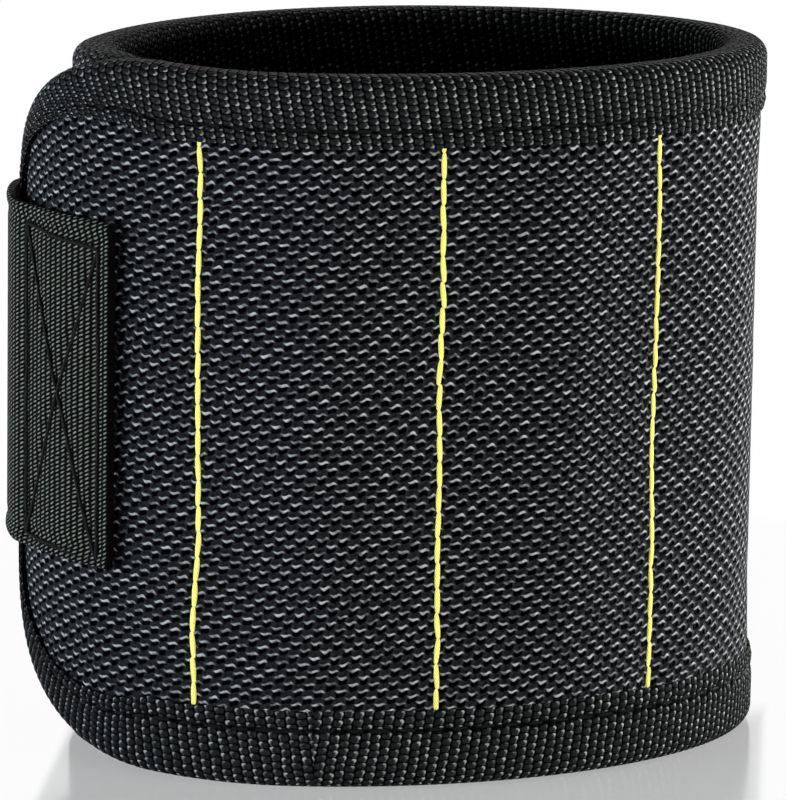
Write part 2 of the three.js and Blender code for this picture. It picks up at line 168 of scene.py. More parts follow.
# %% [markdown]
# ## Tools of the cutting table
# A cloth starts as a grid primitive whose rows and columns are moved to the cutting lines. Its UV map holds
# millimetres along and across the cloth, so that a weave painted by the map keeps its real size after the
# cloth is wrapped. The helpers here do what a hand does between two operators: select one thing, apply
# a modifier, read or move points.

# %% Select one thing, read points, move points
def select_only(piece):
    bpy.ops.object.select_all(action="DESELECT")
    piece.select_set(True)
    bpy.context.view_layer.objects.active = piece


def points(piece):
    found = np.empty(3 * len(piece.data.vertices))
    piece.data.vertices.foreach_get("co", found)
    return found.reshape(-1, 3)


def move_points(piece, places):
    piece.data.vertices.foreach_set("co", np.ascontiguousarray(places, dtype=float).ravel())
    piece.data.update()


def mark_weave(piece, along, across):
    layer = piece.data.uv_layers.active or piece.data.uv_layers.new()
    layer.name = "weave"
    corner = np.empty(len(piece.data.loops), dtype=int)
    piece.data.loops.foreach_get("vertex_index", corner)
    layer.data.foreach_set("uv", np.column_stack([along, across])[corner].ravel())


print("tools for points ready")

# %% Cut a cloth flat and work on it
def cut_flat(name, columns, rows):
    bpy.ops.object.select_all(action="DESELECT")
    across, up = len(columns) - 1, len(rows) - 1
    bpy.ops.mesh.primitive_grid_add(x_subdivisions=across, y_subdivisions=up, size=2)
    cloth = bpy.context.object
    cloth.name = cloth.data.name = name
    grid = (points(cloth) + 1) / 2
    column = np.rint(grid[:, 0] * across).astype(int)
    row = np.rint(grid[:, 1] * up).astype(int)
    flat = np.column_stack([np.asarray(columns)[column], np.asarray(rows)[row], 0 * grid[:, 0]])
    move_points(cloth, flat)
    return cloth, flat, row


def modify(piece, kind, **settings):
    select_only(piece)
    bpy.ops.object.modifier_add(type=kind)
    modifier = piece.modifiers[-1]
    for name, value in settings.items():
        setattr(modifier, name, value)
    bpy.ops.object.modifier_apply(modifier=modifier.name)


def smooth_shade(piece, degrees=40):
    select_only(piece)
    bpy.ops.object.shade_smooth_by_angle(angle=math.radians(degrees))


def flip_faces(piece):
    select_only(piece)
    bpy.ops.object.mode_set(mode="EDIT")
    bpy.ops.mesh.select_all(action="SELECT")
    bpy.ops.mesh.flip_normals()
    bpy.ops.object.mode_set(mode="OBJECT")


def even_steps(stops, step):
    marks = [np.linspace(a, b, max(2, math.ceil((b - a) / step) + 1))[:-1] for a, b in zip(stops, stops[1:])]
    return np.append(np.concatenate(marks), stops[-1])


print("tools for cloth ready")

# %% [markdown]
# ## Finishes and their nodes
# A finish is a node tree. One function adds a node, sets it and links it: values go to its sockets in order,
# names with a capital are sockets, and other names are settings. Another turns a hex colour as seen on
# a screen into the linear numbers that the shader wants. Patterns read the "weave" map, so one unit is one
# millimetre of cloth. Most patterns need a step with soft ends, which is Map Range with the SOFT setting.

# %% Colour and node helpers
SOFT = {"interpolation_type": "SMOOTHSTEP"}


def colour(code):
    parts = [int(code[i:i + 2], 16) / 255 for i in (1, 3, 5)]
    return (*(p / 12.92 if p <= 0.04045 else ((p + 0.055) / 1.055) ** 2.4 for p in parts), 1.0)


def new_finish(name, **sockets):
    finish = bpy.data.materials.new(name)
    finish.use_nodes = True
    shader = finish.node_tree.nodes["Principled BSDF"]
    for socket, value in sockets.items():
        shader.inputs[socket.replace("_", " ")].default_value = value
    return finish, finish.node_tree, shader


def node(tree, kind, *values, out=0, **settings):
    made = tree.nodes.new("ShaderNode" + kind)
    inputs = dict(enumerate(values))
    for name, value in settings.items():
        if name.islower():
            setattr(made, name, value)
        else:
            inputs[name] = value
    for socket, value in inputs.items():
        if isinstance(value, bpy.types.NodeSocket):
            tree.links.new(value, made.inputs[socket])
        else:
            made.inputs[socket].default_value = value
    return made.outputs[out]


print("node helpers ready")

# %% [markdown]
# ## Finish: ballistic nylon
# The cover is ballistic nylon, a basket weave of thick filament yarn. Each float carries a painted highlight,
# a thin light dash 1.3 mm long, and the rows of floats are 0.88 mm apart. Two sine waves across the cloth
# give that
# checkerboard: where their sum is far from zero a float lies on top. The dashes lean up to the right, bow up
# or down as the cloth is pulled, and their columns slant a little, because the cloth was cut off its grain.
# Under each float its shade is painted as a dull black hole. A picture of cloth would be the other way, but
# then the weave could not be set to size.

# %% A weave map with a little stray in its yarns
def stray_yarns(tree, size, amount):
    weave = node(tree, "UVMap", uv_map="weave")
    stray = node(tree, "TexNoise", Vector=weave, Scale=size, Detail=1.0, out="Color")
    centred = node(tree, "VectorMath", stray, (0.5, 0.5, 0.5), operation="SUBTRACT")
    nudge = node(tree, "VectorMath", centred, Scale=amount, operation="SCALE")
    moved = node(tree, "VectorMath", weave, nudge, operation="ADD")
    return weave, *node(tree, "SeparateXYZ", moved).node.outputs[:2]


def wave(tree, value, length, shift=0.0):
    turn = node(tree, "Math", value, math.pi / length, shift, operation="MULTIPLY_ADD")
    return node(tree, "Math", turn, operation="SINE")


def paint(tree, shader, tone, roughness, height, depth):
    tree.links.new(tone, shader.inputs["Base Color"])
    tree.links.new(roughness, shader.inputs["Roughness"])
    relief = node(tree, "Bump", Strength=1.0, Distance=depth * MM, Height=height)
    tree.links.new(relief, shader.inputs["Normal"])


print("weave helpers ready")

# %% Ballistic nylon: the weave
FLOAT_LENGTH, FLOAT_HEIGHT, FLOAT_LEAN, FLOAT_BOW = 1.3, 0.88, 0.09, 0.09
WARP_SLANT, WARP_SHARE, HOLE_SHIFT = -0.14, 0.2, 1.6
QUARTER_TURN = math.pi / 2
nylon, tree, shader = new_finish("ballistic_nylon_black", IOR=1.53, Sheen_Weight=0.15,
                                 Sheen_Roughness=0.3, Sheen_Tint=colour("#b9c9ce"))
weave, along, across = stray_yarns(tree, 0.35, 0.7)
slanted = node(tree, "Math", across, WARP_SLANT, along, operation="MULTIPLY_ADD")
warp = wave(tree, slanted, FLOAT_LENGTH)
ends = wave(tree, slanted, FLOAT_LENGTH / 2, QUARTER_TURN)
rise = wave(tree, slanted, FLOAT_LENGTH / 2)
pulled = node(tree, "TexNoise", Vector=weave, Scale=0.03, Detail=0.0)
bow = node(tree, "MapRange", pulled, 0.35, 0.65, -FLOAT_BOW, FLOAT_BOW, **SOFT)
leaned = node(tree, "Math", rise, FLOAT_LEAN, across, operation="MULTIPLY_ADD")
bowed = node(tree, "Math", ends, bow, leaned, operation="MULTIPLY_ADD")
weft = wave(tree, bowed, FLOAT_HEIGHT)
lifted = node(tree, "Math", warp, WARP_SHARE, weft, operation="MULTIPLY_ADD")
lifted = node(tree, "Math", lifted, operation="ABSOLUTE")
# Painted highlight: the mask of the light dashes painted on the float tops.
painted_float_highlight = node(tree, "MapRange", lifted, 0.88, 1.15, **SOFT)
# Painted shade: a dark hole just under each float, where the float shades the cloth.
shade_under_float = wave(tree, bowed, FLOAT_HEIGHT, HOLE_SHIFT)
holes = node(tree, "Math", warp, shade_under_float, operation="MULTIPLY")
holes = node(tree, "MapRange", holes, 0.0, 0.5, **SOFT)
pillow = node(tree, "Math", weft, warp, operation="MULTIPLY")
height = node(tree, "Math", holes, -0.6, pillow, operation="MULTIPLY_ADD")
print("weave repeats every", 2 * FLOAT_LENGTH, "x", 2 * FLOAT_HEIGHT, "mm")

# %% Ballistic nylon: colour with painted highlights and shade, and gloss
fibre = node(tree, "TexNoise", Vector=weave, Scale=2.6, Detail=2.0)
fibre = node(tree, "MapRange", fibre, 0.3, 0.7, **SOFT)
ground = node(tree, "MixRGB", fibre, colour("#020202"), colour("#1b1d1f"))
# Painted shade: the holes under the floats are painted near black.
ground = node(tree, "MixRGB", holes, ground, colour("#010101"))
chance = node(tree, "TexNoise", Vector=weave, Scale=0.9, Detail=2.0)
chance = node(tree, "MapRange", chance, 0.3, 0.7, **SOFT)
# Painted highlight: the float tops are painted light grey, brighter on some floats than on others.
yarn = node(tree, "MixRGB", chance, colour("#3b3d3f"), colour("#acaeaf"))
tone = node(tree, "MixRGB", painted_float_highlight, ground, yarn)
gloss = node(tree, "MapRange", painted_float_highlight, 0.0, 1.0, 0.7, 0.36, **SOFT)
shine = node(tree, "MapRange", holes, 0.0, 1.0, 0.07, 0.0, **SOFT)
tree.links.new(shine, shader.inputs["Specular IOR Level"])
paint(tree, shader, tone, gloss, height, 0.22)
print("finish:", nylon.name)

# %% [markdown]
# ## The outer cover
# The cover is one cloth, tacked down by the needle at six seams and held at its edge by the tape. Between the
# seams the padding pushes it out. Cloth simulation gives this truest: the thread holds the cloth down along
# each seam, deepest at the needle holes, and a light pressure on the pockets swells and wrinkles the rest.
# The cloth starts slightly domed, so that it swells outwards and doesn't buckle in. It is simulated flat, at
# 100 m for each metre, because Blender's cloth is tuned for large sheets.

# %% Where a point lies from the band's bound edge
EDGE_INSET, TONGUE_CORNER, TAIL_CORNER = 1.3, 35.0, 24.0
TAPE_LEG, TOP_TAPE_LEG, END_TAPE_LEG = 10.0, 8.8, 2.2
LEG_TAPER, TAPE_COVERS = 1.7, 0.4
ROWS_PER_STITCH, ROW_COUNT, CLOTH_STEP = 3, 81, 1.5


def corner_at(along):
    return np.where(along < BAND_LENGTH / 2, TONGUE_CORNER, TAIL_CORNER)


def corner_rise(along, inset):
    from_end, radius = np.minimum(along, BAND_LENGTH - along), corner_at(along)
    reach = radius - inset
    run = np.clip(radius - from_end, 0, reach)
    return radius - np.sqrt(reach * reach - run * run)


def leg_at(turned, in_up):
    straight = np.where(in_up < 0, TOP_TAPE_LEG, TAPE_LEG)
    return END_TAPE_LEG + (straight - END_TAPE_LEG) * (1 - turned) ** LEG_TAPER


def under_tape_at(along, up):
    from_end, radius = np.minimum(along, BAND_LENGTH - along), corner_at(along)
    from_side = np.minimum(up, BAND_HEIGHT - up)
    to_end, to_side = np.clip(radius - from_end, 0, None), np.clip(radius - from_side, 0, None)
    from_edge = np.where(to_end > 0, radius - np.hypot(to_end, to_side), from_side)
    turned = np.arctan2(to_end, to_side + 1e-9) / QUARTER_TURN
    return from_edge < leg_at(turned, BAND_HEIGHT / 2 - up) - TAPE_COVERS


print("tape legs:", TOP_TAPE_LEG, TAPE_LEG, END_TAPE_LEG, "mm")

# %% The pattern that cover and lining share
def seam_distance(along):
    return np.min(np.abs(along[:, None] - np.array(SEAMS)), axis=1)


def cut_band_cloth(name):
    stops = sorted([EDGE_INSET, *CUTS[1:-1], *FOLDS, BAND_LENGTH - EDGE_INSET])
    rows = np.linspace(EDGE_INSET, BAND_HEIGHT - EDGE_INSET, ROW_COUNT + 1)
    cloth, flat, row = cut_flat(name, even_steps(stops, CLOTH_STEP), rows)
    low = corner_rise(flat[:, 0], EDGE_INSET)
    share = (flat[:, 1] - EDGE_INSET) / (BAND_HEIGHT - 2 * EDGE_INSET)
    flat[:, 1] = low + share * (BAND_HEIGHT - 2 * low)
    move_points(cloth, flat)
    mark_weave(cloth, flat[:, 0], flat[:, 1])
    along, from_seam = flat[:, 0], seam_distance(flat[:, 0])
    zone = {"from_seam": from_seam, "at_seam": from_seam < 0.01, "at_hole": row % ROWS_PER_STITCH == 0,
            "in_pocket": (along > SEAMS[0]) & (along < SEAMS[-1]),
            "under_tape": under_tape_at(along, flat[:, 1])}
    return cloth, flat, zone


def give_weights(cloth, name, weights):
    group = cloth.vertex_groups.new(name=name)
    for weight in np.unique(weights):
        group.add(np.flatnonzero(weights == weight).tolist(), float(weight), "REPLACE")


print("pattern has", ROW_COUNT // ROWS_PER_STITCH, "stitches up each seam")

# %% Simulate a cloth that the needle holds
CLOTH_UNITS, CLOTH_FRAMES = 0.1, 20
START_DOME, DOME_REACH = 0.35, 10.0


def swell(cloth, flat, held, pushed, pressure, most):
    give_weights(cloth, "held", held.astype(float))
    give_weights(cloth, "pushed", pushed)
    dome = START_DOME
    start = flat.copy()
    start[:, 2] += np.where(held, 0, dome * pushed * np.clip(seam_distance(flat[:, 0]) / DOME_REACH, 0, 1))
    move_points(cloth, start * CLOTH_UNITS)
    select_only(cloth)
    bpy.ops.object.modifier_add(type="CLOTH")
    sewing = cloth.modifiers[-1]
    sewing.point_cache.frame_end = CLOTH_FRAMES
    settings = sewing.settings
    settings.vertex_group_mass = "held"
    settings.use_pressure = True
    settings.vertex_group_pressure = "pushed"
    settings.uniform_pressure_force = pressure
    settings.effector_weights.gravity = 0
    settings.shrink_min = -0.003
    settings.air_damping = 5
    settings.bending_stiffness = 1.0
    for number in range(1, CLOTH_FRAMES + 1):
        bpy.context.scene.frame_set(number)
    bpy.ops.object.modifier_apply(modifier=sewing.name)
    bpy.context.scene.frame_set(1)
    moved = points(cloth) / CLOTH_UNITS
    moved[:, 2] = np.clip(moved[:, 2], flat[:, 2].min(), most)
    return moved


print("cloth runs for", CLOTH_FRAMES, "frames")

# %% Swell the cover outwards, except where tape, strap or pile presses on it
SEAM_DEPTH, SEAM_REACH, BETWEEN_HOLES = 0.5, 1.6, 0.6
COVER_SWELL, COVER_PRESSURE = 0.95, 0.6
PRESSED_BY_STRAP, PRESSED_BY_PILE = (32.0, 24.0), (0.5, 28.0)
cover, flat, zone = cut_band_cloth("nylon_cover")
from_middle = np.abs(flat[:, 1] - BAND_HEIGHT / 2)
under_strap = (flat[:, 0] < PRESSED_BY_STRAP[0]) & (from_middle < PRESSED_BY_STRAP[1])
under_pile = (flat[:, 0] > SEAMS[-1] + PRESSED_BY_PILE[0]) & (from_middle < PRESSED_BY_PILE[1])
sunk = SEAM_DEPTH * np.where(zone["at_hole"], 1.0, BETWEEN_HOLES)
sunk = sunk * np.clip(1 - zone["from_seam"] / SEAM_REACH, 0, 1)
flat[:, 2] = np.where(zone["under_tape"], 0, -sunk)
held = zone["under_tape"] | under_strap | under_pile | zone["at_seam"]
pushed = np.where(zone["in_pocket"] & ~zone["under_tape"], 1.0, 0.0)
cover_flat = swell(cover, flat, held, pushed, COVER_PRESSURE, COVER_SWELL)
move_points(cover, cover_flat)
print(f"cover: pockets swell to {cover_flat[:, 2].max():.2f} mm, seams {cover_flat[:, 2].min():.2f} mm")

# %% Cut a cloth at the panel middles and wrap it
def snip(cloth, spans, name):
    pieces = []
    bpy.context.tool_settings.mesh_select_mode = (False, False, True)
    for span in spans[:-1]:
        centres = np.empty(3 * len(cloth.data.polygons))
        cloth.data.polygons.foreach_get("center", centres)
        cloth.data.polygons.foreach_set("select", centres[0::3] < span["to"])
        select_only(cloth)
        bpy.ops.object.mode_set(mode="EDIT")
        bpy.ops.mesh.separate(type="SELECTED")
        bpy.ops.object.mode_set(mode="OBJECT")
        pieces.append(next(o for o in bpy.context.selected_objects if o is not cloth))
    pieces.append(cloth)
    for piece, span in zip(pieces, spans):
        piece.name = piece.data.name = f"{name}_{span['name']}"
    return pieces


def wrap(piece, track, seat):
    flat = points(piece)
    move_points(piece, place(track, flat[:, 0], flat[:, 1], seat + flat[:, 2]))


def finish_piece(piece, finish, degrees=40):
    piece.data.materials.clear()
    piece.data.materials.append(finish)
    smooth_shade(piece, degrees)


def stands_for(i, kind):
    panels = BODIES[i:i + 1] if i < len(SPANS) - 1 else BODIES[i:]
    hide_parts(*(f"{kind}_{panel}" for panel in panels))


print("cutting and wrapping ready")

# %% Cut the cover, wrap it and give it its thickness
COVER_THICKNESS = 0.8
cover_pieces = snip(cover, SPANS, "nylon_cover")
for i, (piece, span) in enumerate(zip(cover_pieces, SPANS)):
    piece.vertex_groups.clear()
    modify(piece, "SUBSURF", levels=1, render_levels=1)
    wrap(piece, band, 0.0)
    modify(piece, "SOLIDIFY", thickness=COVER_THICKNESS * MM, offset=-1)
    finish_piece(piece, nylon)
    bend_with(piece, span, 0.0)
    stands_for(i, "cover")
print("cover pieces:", len(cover_pieces))

# %% The stretch of cloth that each cover piece was cut from
for piece, span in zip(cover_pieces, SPANS):
    begin, end = max(span["from"], EDGE_INSET), min(span["to"], BAND_LENGTH - EDGE_INSET)

# %% [markdown]
# ## Finish: spacer mesh
# The side against the wrist is a black spacer mesh: a knit with rows of small holes that lets air through.
# The holes are staggered, 2.2 mm apart. The yarn is matt, so the finish is dark and rough.

# %% Spacer mesh
HOLE_PITCH, HOLE_ROW = 2.2, 1.87
mesh_knit, tree, shader = new_finish("spacer_mesh_black", IOR=1.5, Specular_IOR_Level=0.05)
weave = node(tree, "UVMap", uv_map="weave")
along, across = node(tree, "SeparateXYZ", weave).node.outputs[:2]
columns, rows = wave(tree, along, HOLE_PITCH / 2, QUARTER_TURN), wave(tree, across, HOLE_ROW, QUARTER_TURN)
holes = node(tree, "Math", columns, rows, operation="MULTIPLY")
knit = node(tree, "MapRange", holes, 0.62, 0.3, **SOFT)
fibre = node(tree, "TexNoise", Vector=weave, Scale=3.0, Detail=3.0)
yarn = node(tree, "MixRGB", fibre, colour("#0a0a0b"), colour("#171718"))
tone = node(tree, "MixRGB", knit, colour("#020202"), yarn)
dull = node(tree, "MapRange", fibre, 0.0, 1.0, 0.75, 0.95, **SOFT)
height = node(tree, "Math", fibre, 0.35, knit, operation="MULTIPLY_ADD")
paint(tree, shader, tone, dull, height, 0.25)
print("finish:", mesh_knit.name)

# %% [markdown]
# ## The padded lining
# Behind the cover lies foam with the magnets let into it, and over the foam the mesh that touches the skin.
# The same needle holes pinch it. It is the cover's pattern again, simulated with the push on the other side
# and turned over, and Solidify then fills it with foam up to the cover, thinner at the seams and behind the
# magnets.

# %% Swell the lining inwards
LINING_FACE, FOAM_FACE = -4.1, -1.15
LINING_PINCH, PINCH_REACH = 1.5, 3.2
LINING_SWELL, LINING_PRESSURE, PANEL_PUSH = 0.85, 0.5, 0.12
lining, flat, zone = cut_band_cloth("padded_lining")
flat[:, 2] = np.where(zone["under_tape"], 0, -LINING_PINCH * smooth(1 - zone["from_seam"] / PINCH_REACH))
held = zone["under_tape"] | (zone["at_seam"] & zone["at_hole"])
pushed = np.where(zone["under_tape"], 0.0, np.where(zone["in_pocket"], 1.0, PANEL_PUSH))
lining_flat = swell(lining, flat, held, pushed, LINING_PRESSURE, LINING_SWELL)
lining_flat[:, 2] *= -1
move_points(lining, lining_flat)
print(f"lining: swells {-lining_flat[:, 2].min():.2f} mm towards the wrist")

# %% Fill it with foam, less at the seams and behind the magnets
MAGNET_ROOM, MAGNET_RADIUS, MAGNET_SPACING, LEAST_FOAM = 2.3, 7.6, 22.0, 0.4
seam_dip = SEAM_DEPTH * np.clip(1 - zone["from_seam"] / PINCH_REACH, 0, 1)
foam = FOAM_FACE - seam_dip - (LINING_FACE + lining_flat[:, 2])
for seam in SEAMS[:-1]:
    middle = seam + POCKET_PITCH / 2
    for level in (-1, 0, 1):
        away = np.hypot(flat[:, 0] - middle, flat[:, 1] - BAND_HEIGHT / 2 - level * MAGNET_SPACING)
        foam -= MAGNET_ROOM * (away < MAGNET_RADIUS)
foam = np.clip(foam, LEAST_FOAM, None)
give_weights(lining, "foam", np.round(foam / foam.max(), 3))
lining_pieces = snip(lining, SPANS, "padded_lining")
for i, (piece, span) in enumerate(zip(lining_pieces, SPANS)):
    wrap(piece, band, LINING_FACE)
    modify(piece, "SOLIDIFY", thickness=foam.max() * MM, offset=1, vertex_group="foam")
    piece.vertex_groups.clear()
    finish_piece(piece, mesh_knit, 50)
    bend_with(piece, span, LINING_FACE)
    stands_for(i, "pad")
print("lining pieces:", len(lining_pieces), f"foam up to {foam.max():.1f} mm")

# %% [markdown]
# ## Finish: binding tape
# The edges are bound with a heavy woven tape. Its cords stand side by side, 1.28 mm apart along the tape, and
# each is a column of dim beads, 0.97 mm apart, with painted shade, near black, in the gaps between. Every
# second cord is moved up a little, and all lean, as the weft does. A painted highlight runs down the right
# rim of each bead and turns under it. The seam's groove is painted as a dark line of shade, 2.5 mm from the
# tape's rim.

# %% Binding tape: cords and beads
CORD_PITCH, BEAD_PITCH, CORD_LEAN, CORD_STAGGER = 1.28, 0.97, 0.15, 0.35
SEAM_FROM_RIM = 2.5
tape_weave, tree, shader = new_finish("polyester_binding_tape_black", IOR=1.5, Specular_IOR_Level=0.02)
weave, along, across = stray_yarns(tree, 0.5, 0.5)
leaned = node(tree, "Math", across, CORD_LEAN, along, operation="MULTIPLY_ADD")
number = node(tree, "Math", leaned, 1 / CORD_PITCH, operation="MULTIPLY")
number = node(tree, "Math", number, operation="FLOOR")
odd = node(tree, "Math", number, 2.0, operation="FLOORED_MODULO")
raised = node(tree, "Math", odd, BEAD_PITCH * CORD_STAGGER, across, operation="MULTIPLY_ADD")
cords, rungs = wave(tree, leaned, CORD_PITCH), wave(tree, raised, BEAD_PITCH)
beads = node(tree, "Math", cords, rungs, operation="MULTIPLY")
beads = node(tree, "Math", beads, operation="ABSOLUTE")
dome = node(tree, "Math", beads, 0.5, operation="POWER")
tops = node(tree, "MapRange", beads, 0.08, 0.36, **SOFT)
print("beads:", CORD_PITCH, "x", BEAD_PITCH, "mm")

# %% Binding tape: painted light on the rims and colour
# Painted highlight: a light rim is painted on the right and lower side of each bead.
left, lower = wave(tree, leaned, CORD_PITCH / 2), wave(tree, raised, BEAD_PITCH / 2)
lower = node(tree, "Math", lower, 0.5, operation="MULTIPLY")
rim = node(tree, "Math", lower, left, operation="SUBTRACT")
rim = node(tree, "MapRange", rim, 0.3, 1.15, **SOFT)
flank = node(tree, "MapRange", beads, 0.9, 0.45, **SOFT)
rim = node(tree, "Math", rim, flank, operation="MULTIPLY")
fibre = node(tree, "TexNoise", Vector=weave, Scale=1.4, Detail=2.0)
body = node(tree, "MixRGB", fibre, colour("#030404"), colour("#232525"))
chance = node(tree, "TexNoise", Vector=weave, Scale=0.6, Detail=1.0)
chance = node(tree, "MapRange", chance, 0.35, 0.65, **SOFT)
shine = node(tree, "MixRGB", chance, colour("#3f4140"), colour("#939593"))
# Each bead's colour, with the painted highlight on its rim.
bead = node(tree, "MixRGB", rim, body, shine)
# Painted shade: the gaps between the beads are painted near black.
tone = node(tree, "MixRGB", tops, colour("#010101"), bead)
# Painted shade: the seam's groove is painted as a dark line, 2.5 mm from the rim.
from_seam = node(tree, "Math", across, SEAM_FROM_RIM, operation="SUBTRACT")
from_seam = node(tree, "Math", from_seam, operation="ABSOLUTE")
sewn = node(tree, "MapRange", from_seam, 0.5, 0.15, **SOFT)
tone = node(tree, "MixRGB", sewn, tone, colour("#020202"))
gloss = node(tree, "MapRange", tops, 0.0, 1.0, 0.85, 0.42, **SOFT)
paint(tree, shader, tone, gloss, dome, 0.3)
print("finish:", tape_weave.name)

# %% [markdown]
# ## The binding
# Tape is folded over the top edge, the bottom edge and round both ends, and one seam holds both of its legs.
# A bevelled curve could follow the edge, but the tape's seam, its pressed-down rims and the weave need points
# across its width, so it is a flat strip whose points are folded over the edge. Round the ends its legs are
# drawn narrower. The seam pulls a groove into it, deeper at each needle hole.

# %% The folded section of the tape and the edge that it follows
TAPE_OUTER, TAPE_INNER, TAPE_THICKNESS, FOLD_RADIUS = 0.85, -5.1, 0.7, 2.0
TAPE_SEAM, TAPE_GROOVE, TAPE_STITCH = TAPE_LEG - SEAM_FROM_RIM, 0.5, 3.4
CORD_RELIEF, STEPS_PER_CORD = 0.12, 5
quarter = np.linspace(0, QUARTER_TURN, 7)
over_out = np.column_stack([FOLD_RADIUS * (1 - np.sin(quarter)),
                            TAPE_OUTER - FOLD_RADIUS * (1 - np.cos(quarter))])
over_in = np.column_stack([FOLD_RADIUS * (1 - np.cos(quarter)),
                           TAPE_INNER + FOLD_RADIUS * (1 - np.sin(quarter))])
section = np.vstack([[TAPE_LEG, TAPE_OUTER], over_out, over_in, [TAPE_LEG, TAPE_INNER]])
section_lengths = np.append(0, np.cumsum(np.hypot(*np.diff(section, axis=0).T)))
TAPE_WIDTH = section_lengths[-1]


def bound_edge(travel, straight, from_tail):
    """Along the top towards the end, round the end and back along the bottom, by distance."""
    radius = TAIL_CORNER if from_tail else TONGUE_CORNER
    arc, side = radius * math.pi / 2, BAND_HEIGHT - 2 * radius
    stops = np.cumsum([0, straight, arc, side, arc, straight])
    turn = np.interp(travel, stops, [0, 0, math.pi / 2, math.pi / 2, math.pi, math.pi])
    from_end = radius * (1 - np.sin(turn)) + np.clip(stops[1] - travel, 0, None)
    from_end += np.clip(travel - stops[4], 0, None)
    level = radius * np.cos(turn) + BAND_HEIGHT / 2
    level += np.interp(travel, stops[[2, 3]], [side / 2, -side / 2])
    in_along, in_up = np.sin(turn), -np.cos(turn)
    if from_tail:
        return BAND_LENGTH - from_end, level, -in_along, in_up
    return from_end, level, in_along, in_up


def top_edge(travel):
    return travel, np.full_like(travel, BAND_HEIGHT), 0.0, -1.0


def bottom_edge(travel):
    return travel, np.zeros_like(travel), 0.0, 1.0


print(f"tape is {TAPE_WIDTH:.1f} mm wide before it is folded")

# %% Fold one strip of tape over the edge
def ripple(travel, length, seed):
    knots = np.random.default_rng(seed).normal(size=2000)
    return np.interp(travel / length + 400, np.arange(2000), knots)


def drawn_in(inwards, in_along, in_up):
    turned = np.arcsin(np.clip(np.abs(in_along), 0, 1)) / QUARTER_TURN
    reach = (leg_at(turned, in_up) - FOLD_RADIUS) / (TAPE_LEG - FOLD_RADIUS)
    return np.minimum(inwards, FOLD_RADIUS) + reach * np.clip(inwards - FOLD_RADIUS, 0, None)


GROOVE_REACH, HOLE_PULL = 0.6, 0.35
RIM_PRESSED, RIM_FROM, RIM_RUN = 0.27, 8.6, 1.4


def fold_tape(run):
    start, end = run["start"], run["end"]
    travel_marks = even_steps([start, end], CORD_PITCH / STEPS_PER_CORD)
    strip, flat, _ = cut_flat(f"binding_tape_{run['label']}", travel_marks, np.linspace(0, TAPE_WIDTH, 37))
    travel, across = flat[:, 0], flat[:, 1]
    if not run["outer_first"]:
        across = TAPE_WIDTH - across
    woven = run["weave_start"] + run["weave_way"] * (travel - start)
    mark_weave(strip, woven, across)
    inwards = np.interp(across, section_lengths, section[:, 0])
    offset = np.interp(across, section_lengths, section[:, 1])
    outwards = np.where(across < TAPE_WIDTH / 2, 1.0, -1.0)
    pull = 1 - HOLE_PULL + HOLE_PULL * np.cos(FULL_TURN * travel / TAPE_STITCH)
    height = -TAPE_GROOVE * pull * np.exp(-((inwards - TAPE_SEAM) / GROOVE_REACH) ** 2)
    height -= RIM_PRESSED * smooth((inwards - RIM_FROM) / RIM_RUN)
    height += 0.06 * ripple(travel, 4.0, 3) * smooth((inwards - 1.5) / 3)
    height += CORD_RELIEF * (np.abs(np.sin(math.pi * (woven + CORD_LEAN * across) / CORD_PITCH)) - 0.6)
    along, level, in_along, in_up = run["edge"](travel)
    inwards = inwards + 0.12 * ripple(travel, 6.0, 5) * smooth((inwards - 6) / 4)
    inwards = drawn_in(inwards, in_along, in_up)
    places = place(band, along + inwards * in_along, level + inwards * in_up, offset + outwards * height)
    move_points(strip, places)
    modify(strip, "SOLIDIFY", thickness=TAPE_THICKNESS * MM, offset=-1)
    finish_piece(strip, tape_weave, 50)
    return strip


print("tape seam: a stitch every", TAPE_STITCH, "mm")

# %% Plan the strips: one round each end, and two for every span between
TAIL_NODES = ["binding_tail", "top_binding_landing_2", "bottom_binding_landing_2"]
END_PLANS = {0: (CUTS[1] - TONGUE_CORNER, TONGUE_CORNER, ["binding_tongue"]),
             len(SPANS) - 1: (BAND_LENGTH - CUTS[-2] - TAIL_CORNER, TAIL_CORNER, TAIL_NODES)}
tape_runs = []
for i, span in enumerate(SPANS):
    if i in END_PLANS:
        straight, radius, nodes = END_PLANS[i]
        from_tail = i > 0
        runs = [{"side": "end", "edge": lambda t, a=straight, b=from_tail: bound_edge(t, a, b), "start": 0.0,
                 "end": 2 * straight + math.pi * radius + BAND_HEIGHT - 2 * radius, "nodes": nodes,
                 "outer_first": from_tail, "weave_start": span["from"] if from_tail else span["to"],
                 "weave_way": 1 if from_tail else -1}]
    else:
        runs = [{"side": side, "edge": edge, "start": span["from"], "end": span["to"],
                 "nodes": [f"{side}_binding_{BODIES[i]}"], "outer_first": side == "top",
                 "weave_start": span["from"], "weave_way": 1}
                for side, edge in (("top", top_edge), ("bottom", bottom_edge))]
    for run in runs:
        run["span"], run["label"] = span, f"{run['side']}_{span['name']}"
    tape_runs += runs
print("longest strip:", round(max(run["end"] - run["start"] for run in tape_runs), 1), "mm")

# %% Fold the strips over the edge
for run in tape_runs:
    strip = fold_tape(run)
    bend_with(strip, run["span"], -2.0)
    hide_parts(*run["nodes"])
print("tape strips:", len(tape_runs))

# %% [markdown]
# ## Finish: sewing thread
# The thread is bonded polyester, twisted from three plies, so slanting lines run round it about 0.5 mm apart.
# The pocket seams are lemon yellow and everything else is sewn in black.

# %% Yellow and black thread
PLY_SPACING, PLY_SLANT = 0.5, 1.4


